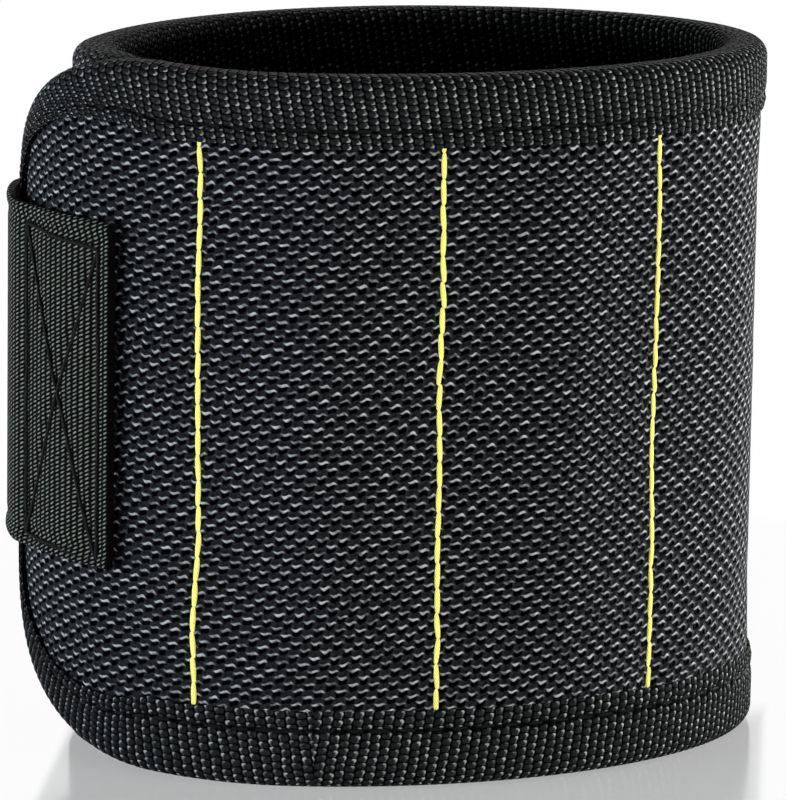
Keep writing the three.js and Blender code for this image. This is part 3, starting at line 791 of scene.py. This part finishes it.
def thread_finish(name, dark, pale, roughness):
    finish, tree, shader = new_finish(name, IOR=1.5, Specular_IOR_Level=0.1)
    weave = node(tree, "UVMap", uv_map="weave")
    along, around = node(tree, "SeparateXYZ", weave).node.outputs[:2]
    slant = node(tree, "Math", around, PLY_SLANT, along, operation="MULTIPLY_ADD")
    ply = node(tree, "MapRange", wave(tree, slant, PLY_SPACING / 2), -1.0, 0.4, **SOFT)
    tone = node(tree, "MixRGB", ply, colour(dark), colour(pale))
    fuzz = node(tree, "MapRange", ply, 0.0, 1.0, roughness + 0.15, roughness, **SOFT)
    paint(tree, shader, tone, fuzz, ply, 0.05)
    return finish


yellow_thread = thread_finish("polyester_thread_yellow", "#e0d760", "#fbf58a", 0.55)
black_thread = thread_finish("polyester_thread_black", "#010101", "#080808", 0.6)
print("finishes:", yellow_thread.name, black_thread.name)

# %% [markdown]
# ## Stitches
# One stitch is a bead of thread that dives into the cloth at both ends. It starts as a small sphere, is drawn
# out in edit mode and bowed, and an Array modifier steps it along as the machine does. The row is then laid
# on its seam, with a little wander, because no machine holds a perfectly straight line.

# %% Model one stitch and step it along a seam
STITCH_REACH, STITCH_FLAT, STITCH_TAPER, STITCH_DIVE = 1.1, 0.8, 0.35, 0.2


def stitch_row(name, count, pitch, width, wander, seed):
    bpy.ops.object.select_all(action="DESELECT")
    bpy.ops.mesh.primitive_uv_sphere_add(segments=8, ring_count=10, radius=0.5,
                                         rotation=(0, math.pi / 2, 0))
    row = bpy.context.object
    row.name = row.data.name = name
    bpy.ops.object.transform_apply(location=True, rotation=True, scale=True)
    bpy.ops.object.mode_set(mode="EDIT")
    bpy.ops.mesh.select_all(action="SELECT")
    bpy.ops.transform.resize(value=(STITCH_REACH * pitch, width, STITCH_FLAT * width))
    bpy.ops.object.mode_set(mode="OBJECT")
    shape = points(row)
    half = shape[:, 0].max()
    reach = np.clip(np.abs(shape[:, 0] / half), 0, 1)
    roundness = np.sqrt(1 - np.minimum(reach, 0.999) ** 2)
    shape[:, 1:] *= np.where(reach < 0.99, (1 - STITCH_TAPER * reach ** 6) / roundness, 1)[:, None]
    shape[:, 2] -= STITCH_DIVE * width * reach ** 4
    shape[:, 0] += pitch / 2
    each = len(shape)
    move_points(row, shape)
    mark_weave(row, shape[:, 0], np.arctan2(shape[:, 2], shape[:, 1]) * width / 2)
    modify(row, "ARRAY", count=count, use_relative_offset=False, use_constant_offset=True,
           constant_offset_displace=(pitch, 0, 0))
    chance = np.random.default_rng(seed)
    laid = points(row)
    stitch = np.arange(len(laid)) // each
    lean = chance.normal(0, wander / pitch, count)[stitch]
    drift = np.interp(laid[:, 0], np.linspace(0, count * pitch, 8), chance.normal(0, wander, 8))
    laid[:, 1] += drift + lean * (laid[:, 0] - (stitch + 0.5) * pitch)
    move_points(row, laid)
    return row


print("stitch ready")

# %% Lay a row of stitches on its seam
def lay_seam(row, track, path, seat, side=1):
    laid = points(row)
    along, up, way_along, way_up = path(laid[:, 0])
    places = place(track, along - side * laid[:, 1] * way_up, up + side * laid[:, 1] * way_along,
                   seat + side * laid[:, 2])
    move_points(row, places)
    return row


def join_rows(rows, name):
    bpy.ops.object.select_all(action="DESELECT")
    for row in rows:
        row.select_set(True)
    bpy.context.view_layer.objects.active = rows[0]
    bpy.ops.object.join()
    rows[0].name = rows[0].data.name = name
    return rows[0]


print("seams can be laid")

# %% Sew the yellow pocket seams, and their black under-thread on the lining
YELLOW_WIDTH, BLACK_WIDTH = 0.76, 0.5
SEAM_STITCH = ROWS_PER_STITCH * (BAND_HEIGHT - 2 * EDGE_INSET) / ROW_COUNT
SEAM_BOTTOM = 9.3
seam_count = math.ceil((BAND_HEIGHT - TOP_TAPE_LEG - SEAM_BOTTOM) / SEAM_STITCH)
for i, seam in enumerate(SEAMS):
    def up_the_seam(travel, at=seam):
        return np.full_like(travel, at), SEAM_BOTTOM + travel, 0.0, 1.0

    row = stitch_row(f"pocket_seam_{i + 1}", seam_count, SEAM_STITCH, YELLOW_WIDTH, 0.16, seed=20 + i)
    lay_seam(row, band, up_the_seam, -0.26)
    finish_piece(row, yellow_thread, degrees=60)
    bend_with(row, SPANS[i], 0.0)
    under = stitch_row(f"lining_seam_{i + 1}", seam_count, SEAM_STITCH, BLACK_WIDTH, 0.1, seed=40 + i)
    lay_seam(under, band, up_the_seam, LINING_FACE + LINING_PINCH - 0.15, side=-1)
    finish_piece(under, black_thread, degrees=60)
    bend_with(under, SPANS[i], LINING_FACE)
print("pocket seams:", len(SEAMS), "of", seam_count, "stitches")

# %% Sew the tape along its groove, on both faces
tape_seat = TAPE_OUTER - TAPE_GROOVE * 0.75
for run in tape_runs:
    length = run["end"] - run["start"]
    count = int(length // TAPE_STITCH)

    def down_the_tape(travel, run=run):
        along, level, in_along, in_up = run["edge"](run["start"] + travel)
        way_along, way_up = (-in_up, in_along) if run["outer_first"] else (in_up, -in_along)
        if run["side"] == "bottom":
            way_along, way_up = 1.0, 0.0
        inwards = drawn_in(TAPE_SEAM, in_along, in_up)
        return along + inwards * in_along, level + inwards * in_up, way_along, way_up

    label = run["label"]
    outer = stitch_row(f"tape_seam_{label}", count, length / count, BLACK_WIDTH, 0.08, seed=60)
    lay_seam(outer, band, down_the_tape, tape_seat)
    inner = stitch_row(f"tape_under_{label}", count, length / count, BLACK_WIDTH, 0.08, seed=61)
    lay_seam(inner, band, down_the_tape, TAPE_INNER + TAPE_OUTER - tape_seat, side=-1)
    seam = join_rows([outer, inner], f"tape_seam_{label}")
    finish_piece(seam, black_thread, degrees=60)
    bend_with(seam, run["span"], -2.0)
print("tape seams:", len(tape_runs))

# %% [markdown]
# ## Finish: webbing
# The strap is a ribbed webbing. Ribs run across it, 1.05 mm apart, and each rib is a column of small slanted
# floats, 0.55 mm apart, whose tops carry a painted highlight as rows of light dots. Black with a hint of
# green-grey, and its cut end is painted plain black as shade.

# %% Ribbed webbing
RIB_PITCH, FLOAT_PITCH, FLOAT_SLANT = 1.05, 0.55, 0.5
STRAP_START = 0.9
webbing, tree, shader = new_finish("ribbed_webbing_black", IOR=1.5, Specular_IOR_Level=0.03)
weave, along, across = stray_yarns(tree, 0.7, 0.3)
ribs = node(tree, "Math", wave(tree, along, RIB_PITCH), operation="ABSOLUTE")
slant = node(tree, "Math", along, FLOAT_SLANT, across, operation="MULTIPLY_ADD")
beads = node(tree, "MapRange", wave(tree, slant, FLOAT_PITCH / 2), -1.0, 1.0, 0.15, 1.0, **SOFT)
dots = node(tree, "Math", ribs, beads, operation="MULTIPLY")
tops = node(tree, "MapRange", dots, 0.3, 0.95, **SOFT)
fibre = node(tree, "TexNoise", Vector=weave, Scale=1.6, Detail=2.0)
# Painted highlight: the float tops are painted light grey-green, as dots.
yarn = node(tree, "MixRGB", fibre, colour("#32352f"), colour("#8d9087"))
tone = node(tree, "MixRGB", tops, colour("#040403"), yarn)
# Painted shade: the strap's cut end is painted black.
painted_end_shade = node(tree, "MapRange", along, STRAP_START + 0.7, STRAP_START + 0.3, **SOFT)
tone = node(tree, "MixRGB", painted_end_shade, tone, colour("#010101"))
gloss = node(tree, "MapRange", tops, 0.0, 1.0, 0.85, 0.5, **SOFT)
paint(tree, shader, tone, gloss, dots, 0.2)
print("finish:", webbing.name)

# %% [markdown]
# ## The closing strap
# The strap is sewn to the tongue with a cross in a box, passes over the tongue's bound end and lands on the
# loop pile, where its hook patch holds. It lies on the outside, so it follows its own line, a little further
# out than the band. It is a flat strip of webbing with a folded hem at the seam, where it was sewn about a
# millimetre askew, thicker selvedges and rounded corners at the free end.

# %% The strap's own line
STRAP_WIDTH, STRAP_THICKNESS, STRAP_LENGTH = 44.2, 1.1, 89.0
STRAP_MIDDLE = BAND_HEIGHT / 2 + 1.15
STRAP_BASE, STRAP_FREE_END = 31.0, 53.0
STRAP_CORNER = 7.0
STRAP_OVER_COVER, STRAP_OVER_TAPE, STRAP_OVER_PILE = 0.3, 1.3, 2.7
STRAP_STEP = 16.0 / HALF_WIDTH
STRAP_CLEAR, STRAP_CLIMB = 0.3, 5.6
tape_angle = float(angle_at(band, TAPE_LEG + STRAP_CLEAR))
cover_angle = float(angle_at(band, TAPE_LEG + STRAP_CLEAR + STRAP_CLIMB))


def strap_seat(angle):
    climb = smooth((cover_angle - angle) / (cover_angle - tape_angle))
    on_tongue = STRAP_OVER_COVER + (STRAP_OVER_TAPE - STRAP_OVER_COVER) * climb
    landed = tuck(angle + FULL_TURN) + STRAP_OVER_PILE
    fall = smooth((TONGUE_END - angle) / STRAP_STEP)
    past_end = STRAP_OVER_TAPE + (landed - STRAP_OVER_TAPE) * fall
    return np.where(angle >= TONGUE_END, on_tongue, past_end)


strap = make_track(float(angle_at(band, STRAP_BASE)), -1, strap_seat)
tip = place(strap, np.array([STRAP_LENGTH]), BAND_HEIGHT / 2, 0.0)[0] / MM
print("strap ends at", tip.round(1))

# %% Where the strap is sewn
BOX_NEAR, BOX_FAR, BOX_LOW, BOX_HIGH = 3.2, 17.4, 25.9, 65.7
BOX_GROOVE, GROOVE_HALF = 0.3, 0.7
STRAP_CUT = (STRAP_BASE + STRAP_FREE_END) / 2
HEM_LENGTH, HEM_LIFT = 2.2, 0.55
HEM_SKEW, HEM_SKEW_LENGTH = 1.15, 22.0
SELVEDGE, SELVEDGE_DIP = (0.22, 0.9, 0.6), (0.15, 2.3, 0.4)
corners = [(BOX_NEAR, BOX_LOW), (BOX_FAR, BOX_LOW), (BOX_FAR, BOX_HIGH), (BOX_NEAR, BOX_HIGH)]
box_lines = [*zip(corners, corners[1:] + corners[:1]), (corners[0], corners[2]), (corners[3], corners[1])]


def ridge(distance, height, middle, half):
    return height * np.exp(-(((distance - middle) / half) ** 2))


def line_distance(along, up, line):
    (a, b), (c, d) = line
    length = math.hypot(c - a, d - b)
    share = np.clip(((along - a) * (c - a) + (up - b) * (d - b)) / length ** 2, 0, 1)
    return np.hypot(along - a - share * (c - a), up - b - share * (d - b))


print("box:", round(BOX_FAR - BOX_NEAR, 1), "x", round(BOX_HIGH - BOX_LOW, 1), "mm")

# %% Cut, press and wrap the strap in two pieces, one for each of its folds
def strap_piece(name, start, end):
    columns = even_steps([start, end], 0.7)
    rows = np.linspace(STRAP_MIDDLE - STRAP_WIDTH / 2, STRAP_MIDDLE + STRAP_WIDTH / 2, 68)
    strip, flat, _ = cut_flat(name, columns, rows)
    past = np.clip(flat[:, 0] - (STRAP_LENGTH - STRAP_CORNER), 0, STRAP_CORNER)
    drawn = STRAP_CORNER - np.sqrt(STRAP_CORNER ** 2 - past ** 2)
    flat[:, 1] = STRAP_MIDDLE + (flat[:, 1] - STRAP_MIDDLE) * (1 - 2 * drawn / STRAP_WIDTH)
    mark_weave(strip, flat[:, 0], flat[:, 1])
    sewn = np.min([line_distance(flat[:, 0], flat[:, 1], line) for line in box_lines], axis=0)
    from_edge = STRAP_WIDTH / 2 - np.abs(flat[:, 1] - STRAP_MIDDLE)
    height = STRAP_THICKNESS - ridge(sewn, BOX_GROOVE, 0.0, GROOVE_HALF)
    height += HEM_LIFT * smooth(1 - (flat[:, 0] - STRAP_START) / HEM_LENGTH)
    height += ridge(from_edge, *SELVEDGE) - ridge(from_edge, *SELVEDGE_DIP)
    flat[:, 1] += HEM_SKEW * smooth(1 - flat[:, 0] / HEM_SKEW_LENGTH)
    flat[:, 2] = height
    move_points(strip, flat)
    wrap(strip, strap, 0.0)
    flip_faces(strip)
    modify(strip, "SOLIDIFY", thickness=STRAP_THICKNESS * MM, offset=-1)
    modify(strip, "BEVEL", width=0.3 * MM, segments=2, limit_method="ANGLE", angle_limit=math.radians(60))
    finish_piece(strip, webbing, 50)
    return strip


def bend_strap(piece, start, end, offset):
    ends = [tuple(place(strap, np.array([u]), 0.0, offset)[0]) for u in (start, end)]
    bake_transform(piece)


LIFT_BEND, PEEL_BEND = 8.0, 8.0
strap_base = strap_piece("webbing_strap_base", STRAP_START, STRAP_CUT)
bend_strap(strap_base, STRAP_BASE, STRAP_BASE + LIFT_BEND, STRAP_THICKNESS)
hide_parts("strap_base", "strap_web")
strap_tip = strap_piece("webbing_strap_tip", STRAP_CUT, STRAP_LENGTH)
bend_strap(strap_tip, STRAP_FREE_END, STRAP_FREE_END + PEEL_BEND,
           STRAP_THICKNESS)
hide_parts("strap_end")
print("strap pieces: 2")

# %% Sew the cross in its box
BOX_STITCH = 2.6
rows = []
for i, ((a, b), (c, d)) in enumerate(box_lines):
    length = math.hypot(c - a, d - b)
    way = ((c - a) / length, (d - b) / length)

    def along_the_line(travel, at=(a, b), way=way):
        return at[0] + travel * way[0], at[1] + travel * way[1], way[0], way[1]

    count = round(length / BOX_STITCH)
    row = stitch_row(f"box_line_{i + 1}", count, length / count, BLACK_WIDTH, 0.08, seed=80 + i)
    rows.append(lay_seam(row, strap, along_the_line, STRAP_THICKNESS - 0.1))
box_seam = join_rows(rows, "cross_box_seam")
flip_faces(box_seam)
finish_piece(box_seam, black_thread, degrees=60)
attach(box_seam, "tongue")
print("cross in a box:", len(box_lines), "lines of stitches")

# %% [markdown]
# ## Hook and loop
# The loop pile on the back panels is a brushed knit, soft and matt. The hook patch under the strap's end is
# a stiff nylon tape with rows of little bent hooks. The pile is too fine to model thread by thread, so it is
# a lumpy surface with a fuzzy finish. The hooks are modelled: one bent pin, copied in rows by two Array
# modifiers.

# %% Loop pile and hook tape finishes
pile, tree, shader = new_finish("brushed_loop_pile_black", IOR=1.5, Specular_IOR_Level=0.1,
                                Sheen_Weight=0.08, Sheen_Roughness=0.6)
weave = node(tree, "UVMap", uv_map="weave")
tufts = node(tree, "TexVoronoi", Vector=weave, Scale=1.3, Randomness=1.0)
hair = node(tree, "TexNoise", Vector=weave, Scale=4.0, Detail=4.0)
tips = node(tree, "MapRange", hair, 0.25, 0.75, **SOFT)
tone = node(tree, "MixRGB", tips, colour("#040405"), colour("#2e2e31"))
dull = node(tree, "MapRange", hair, 0.0, 1.0, 0.9, 1.0, **SOFT)
paint(tree, shader, tone, dull, node(tree, "Math", tufts, hair, operation="MULTIPLY"), 0.3)

hook_tape, tree, shader = new_finish("moulded_nylon_hook_tape_black", IOR=1.53)
weave = node(tree, "UVMap", uv_map="weave")
grain = node(tree, "TexNoise", Vector=weave, Scale=2.0, Detail=3.0)
tone = node(tree, "MixRGB", grain, colour("#0b0b0c"), colour("#242426"))
gloss = node(tree, "MapRange", grain, 0.0, 1.0, 0.3, 0.5, **SOFT)
paint(tree, shader, tone, gloss, grain, 0.03)
print("finishes:", pile.name, hook_tape.name)

# %% Lay the loop pile over the back panels
PILE_SEAT, PILE_THICKNESS, PILE_BACKING, PILE_HEIGHT = 0.3, 0.8, 0.6, 55.0
PILE_RIM_DROP, PILE_RIM = 0.35, 1.6
PILE_START, PILE_END = SEAMS[-1] + 1.8, BAND_LENGTH - TAIL_CORNER / 2
pile_spans = SPANS[5:]
stops = [PILE_START, pile_spans[0]["to"], pile_spans[1]["to"], PILE_END]
pile_rows = np.linspace((BAND_HEIGHT - PILE_HEIGHT) / 2, (BAND_HEIGHT + PILE_HEIGHT) / 2, 56)
pile_cloth, flat, _ = cut_flat("loop_pile", even_steps(stops, 1.0), pile_rows)
mark_weave(pile_cloth, flat[:, 0], flat[:, 1])
lumps = ripple(flat[:, 0] + 37 * np.round(flat[:, 1]), 1.7, 9)
rim = np.minimum.reduce([flat[:, 0] - PILE_START, PILE_END - flat[:, 0],
                         flat[:, 1] - flat[:, 1].min(), flat[:, 1].max() - flat[:, 1]])
flat[:, 2] = PILE_THICKNESS + np.clip(0.05 * lumps, -0.12, 0.0)
flat[:, 2] -= PILE_RIM_DROP * smooth(1 - rim / PILE_RIM)
move_points(pile_cloth, flat)
pile_pieces = snip(pile_cloth, pile_spans, "loop_pile")
for piece, span, begin, end in zip(pile_pieces, pile_spans, stops, stops[1:]):
    wrap(piece, band, PILE_SEAT)
    modify(piece, "SOLIDIFY", thickness=PILE_BACKING * MM, offset=-1)
    finish_piece(piece, pile, 60)
    bend_with(piece, span, PILE_SEAT)
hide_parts("loop_patch_landing_1", "loop_patch_landing_2")
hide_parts("loop_patch_tail")
print("loop pile pieces:", len(pile_pieces))

# %% Cut the base of the hook patch
HOOK_START, HOOK_END, HOOK_WIDTH = 53.6, 78.0, 42.0
HOOK_SEAT, HOOK_BASE = -0.3, 0.45
hook_low = (BAND_HEIGHT - HOOK_WIDTH) / 2
hook_rows = np.linspace(hook_low, (BAND_HEIGHT + HOOK_WIDTH) / 2, 36)
base, flat, _ = cut_flat("hook_patch_base", even_steps([HOOK_START, HOOK_END], 1.0), hook_rows)
mark_weave(base, flat[:, 0], flat[:, 1])
wrap(base, strap, HOOK_SEAT)
flip_faces(base)
modify(base, "SOLIDIFY", thickness=HOOK_BASE * MM, offset=-1)
modify(base, "BEVEL", width=0.12 * MM, segments=1, limit_method="ANGLE", angle_limit=math.radians(60))
print("hook patch:", round(HOOK_END - HOOK_START, 1), "x", HOOK_WIDTH, "mm")

# %% Model one hook and copy it in rows
HOOK_PITCH, HOOK_RADIUS = 1.35, 0.13
STEM_SHARE, STEM_HEIGHT = 0.4, 0.275
HOOK_REACH, HOOK_RISE, HOOK_TURN = 0.3, 0.26, 0.75 * math.pi
ROW_INSET, RIM_INSET = 0.8, 1.0
bpy.ops.object.select_all(action="DESELECT")
bpy.ops.mesh.primitive_cylinder_add(vertices=6, radius=HOOK_RADIUS, depth=1.0, end_fill_type="TRIFAN")
hooks = bpy.context.object
bpy.ops.object.mode_set(mode="EDIT")
for level in (0.0, 0.28):
    bpy.ops.mesh.select_all(action="SELECT")
    bpy.ops.mesh.bisect(plane_co=(0, 0, level), plane_no=(0, 0, 1))
bpy.ops.object.mode_set(mode="OBJECT")
shape = points(hooks)
share = shape[:, 2] + 0.5
bow = HOOK_TURN * np.clip(share - STEM_SHARE, 0, 1) / (1 - STEM_SHARE)
shape[:, 0] = shape[:, 0] * np.cos(bow) + HOOK_REACH * (1 - np.cos(bow))
shape[:, 2] = STEM_HEIGHT * np.minimum(share, STEM_SHARE) / STEM_SHARE + HOOK_RISE * np.sin(bow)
move_points(hooks, shape + [HOOK_START + ROW_INSET, hook_low + RIM_INSET, 0])
across = int((HOOK_END - HOOK_START - 2 * ROW_INSET) / HOOK_PITCH) + 1
up_count = int((HOOK_WIDTH - 2 * RIM_INSET) / HOOK_PITCH) + 1
modify(hooks, "ARRAY", count=across, use_relative_offset=False, use_constant_offset=True,
       constant_offset_displace=(HOOK_PITCH, 0, 0))
modify(hooks, "ARRAY", count=up_count, use_relative_offset=False, use_constant_offset=True,
       constant_offset_displace=(0, HOOK_PITCH, 0))
flat = points(hooks)
mark_weave(hooks, flat[:, 0], flat[:, 1])
move_points(hooks, place(strap, flat[:, 0], flat[:, 1], HOOK_SEAT - HOOK_BASE - flat[:, 2]))
hook_patch = join_rows([base, hooks], "hook_tape_patch")
finish_piece(hook_patch, hook_tape, 50)
bend_strap(hook_patch, STRAP_FREE_END, STRAP_FREE_END + PEEL_BEND, 0.0)
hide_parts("hook_patch")
print("hooks:", across * up_count)

# %% [markdown]
# ## Finish: nickel-plated magnets
# The magnets are sealed in the pockets and stay as the CAD made them. Nickel plate is bright and smooth, with
# a little cloudiness from tumbling, so only its roughness and tint wander.

# %% Nickel plate
CLOUD_SIZE = 2.5 * MM
nickel, tree, shader = new_finish("nickel_plate", Metallic=1.0)
spot = node(tree, "TexCoord", out="Object")
cloud = node(tree, "TexNoise", Vector=spot, Scale=1 / CLOUD_SIZE, Detail=3.0)
tone = node(tree, "MixRGB", cloud, colour("#b3b0a8"), colour("#cfccc4"))
gloss = node(tree, "MapRange", cloud, 0.0, 1.0, 0.16, 0.32, **SOFT)
paint(tree, shader, tone, gloss, cloud, 0.01)
magnets = [n for name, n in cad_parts.items() if name.startswith("magnet_")]
for magnet in magnets:
    magnet.data.materials.clear()
    magnet.data.materials.append(nickel)
print("magnets:", len(magnets))

# %% [markdown]
# ## Floor, backdrop and light
# The band stands on a polished white table before a white backdrop. The table mirrors the backdrop, so it
# looks white wherever it doesn't mirror the band or carry its shadow. The backdrop and the far table are
# white to the camera and to reflections through the Light Path node, and give the cloth no light. In a strip
# in front of the band the table shows more of its own shade, with the band's soft grey reflection. Low soft
# boxes left, in front and right shade the bumps of the weave, whose floats also carry painted highlights, and
# leave the inside of the loop dark. Dark cloth needs such boxes, because what shows on it is mostly what it
# reflects.

# %% Floor and backdrop
def stage_plane(name, size, location, rotation):
    bpy.ops.object.select_all(action="DESELECT")
    bpy.ops.mesh.primitive_plane_add(size=size, location=location, rotation=rotation)
    plane = bpy.context.object
    plane.name = plane.data.name = name
    bpy.ops.object.transform_apply(location=True, rotation=True, scale=True)
    plane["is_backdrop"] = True
    return plane


def show_white(tree, shader, share):
    rays = node(tree, "LightPath").node.outputs
    seen = node(tree, "Math", rays["Is Camera Ray"], rays["Is Glossy Ray"], operation="MAXIMUM")
    seen = node(tree, "Math", seen, rays["Is Transmission Ray"], operation="MAXIMUM")
    white = node(tree, "Math", seen, share, operation="MULTIPLY")
    glow = node(tree, "Emission", Color=(1, 1, 1, 1), Strength=1.0)
    mixed = node(tree, "MixShader", white, shader.outputs[0], glow)
    tree.links.new(mixed, tree.nodes["Material Output"].inputs["Surface"])


backdrop = stage_plane("backdrop", 8.0, (0, 2.4, 0), (math.radians(90), 0, 0))
backdrop_finish, tree, shader = new_finish("white_backdrop", Base_Color=colour("#f4f4f4"), Roughness=0.9)
show_white(tree, shader, 1.0)
backdrop.data.materials.append(backdrop_finish)
floor = stage_plane("floor", 6.0, (0, 0, 0), (0, 0, 0))
print("stage ready")

# %% Polished table, whose own shade shows in a strip in front of the band
SIDEWAYS, ONWARDS = (0.936, -0.351, 0.0), (0.351, 0.936, 0.0)
STRIP_MIDDLE, STRIP_SIDE = 5.2 * MM, (43.5 * MM, 46.0 * MM)
STRIP_BACK, STRIP_FRONT, FAR = (0.0, 20.0 * MM), (-65.0 * MM, -110.0 * MM), (75.0 * MM, 150.0 * MM)
WHITE_INSIDE, WHITE_OUTSIDE = 0.35, 0.93
floor_finish, tree, shader = new_finish("polished_white_table", Base_Color=colour("#f1f2f2"), Roughness=0.16,
                                        IOR=1.5, Metallic=0.25)
spot = node(tree, "TexCoord", out="Object")
sideways = node(tree, "VectorMath", spot, SIDEWAYS, operation="DOT_PRODUCT", out="Value")
onwards = node(tree, "VectorMath", spot, ONWARDS, operation="DOT_PRODUCT", out="Value")
centred = node(tree, "Math", sideways, STRIP_MIDDLE, operation="SUBTRACT")
centred = node(tree, "Math", centred, operation="ABSOLUTE")
beside = node(tree, "MapRange", centred, *STRIP_SIDE, **SOFT)
behind = node(tree, "MapRange", onwards, *STRIP_BACK, **SOFT)
ahead = node(tree, "MapRange", onwards, *STRIP_FRONT, **SOFT)
outside = node(tree, "Math", beside, behind, operation="MAXIMUM")
outside = node(tree, "Math", outside, ahead, operation="MAXIMUM")
share = node(tree, "MapRange", outside, 0.0, 1.0, WHITE_INSIDE, WHITE_OUTSIDE, **SOFT)
away = node(tree, "VectorMath", spot, operation="LENGTH", out="Value")
far = node(tree, "MapRange", away, *FAR, **SOFT)
show_white(tree, shader, node(tree, "Math", share, far, operation="MAXIMUM"))
floor.data.materials.append(floor_finish)
print("finish:", floor_finish.name)

# %% Soft boxes and a dim room
def soft_box(name, location, size, power, tint):
    bpy.ops.object.select_all(action="DESELECT")
    bpy.ops.object.light_add(type="AREA", location=location)
    lamp = bpy.context.object
    lamp.name = name
    lamp.data.shape = "RECTANGLE"
    lamp.data.size, lamp.data.size_y = size
    lamp.data.energy = power
    lamp.data.color = colour(tint)[:3]
    away = np.array([0, 0, BAND_HEIGHT / 2 * MM]) - np.array(location)
    lamp.rotation_euler = (math.atan2(math.hypot(away[0], away[1]), -away[2]), 0,
                           math.atan2(-away[0], away[1]))
    return lamp


soft_box("left_box", (-0.83, -0.06, 0.07), (0.5, 0.13), 11.0, "#dbe7f0")
soft_box("front_box", (0.45, -0.74, 0.06), (0.6, 0.12), 9.0, "#ffffff")
soft_box("right_box", (0.8, 0.22, 0.07), (0.5, 0.13), 8.0, "#ffffff")
soft_box("top_box", (0.0, -0.1, 0.95), (0.7, 0.7), 1.0, "#ffffff")
room = bpy.data.worlds.new("dim_room")
bpy.context.scene.world = room
room.use_nodes = True
room.node_tree.nodes["Background"].inputs["Color"].default_value = colour("#c8ccd2")
room.node_tree.nodes["Background"].inputs["Strength"].default_value = 0.02
bpy.context.scene.view_settings.view_transform = "Standard"

# %% [markdown]
# ## Camera
# The photograph was taken from the front left and a little above, with a long lens. The place, the aim and
# the small roll were worked out from the rims of the loop.

# %% Camera at the photograph's view
CAMERA_PLACE = np.array([-0.2330, -0.7664, 0.1990])
PITCH_DOWN, ROLL, HEADING = 0.1927, 0.015, math.atan2(0.2922, 0.9564)
bpy.ops.object.camera_add(location=CAMERA_PLACE)
camera = bpy.context.object
camera.name = "photo_camera"
camera.data.lens, camera.data.sensor_width = 283.0, 36.0
camera.data.clip_start, camera.data.clip_end = 0.05, 20.0
aim = Euler((math.pi / 2 - PITCH_DOWN, 0, -HEADING)).to_quaternion()
camera.rotation_mode = "QUATERNION"
camera.rotation_quaternion = aim @ Quaternion((0, 0, 1), ROLL)
bpy.context.scene.camera = camera
print("camera at", CAMERA_PLACE)

# %% Print both boxes
visual_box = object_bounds()
for name, (low, high) in (("CAD", cad_box), ("visual", visual_box)):
    print(name, "box in mm:", [round((h - l) / MM, 1) for l, h in zip(low, high)])
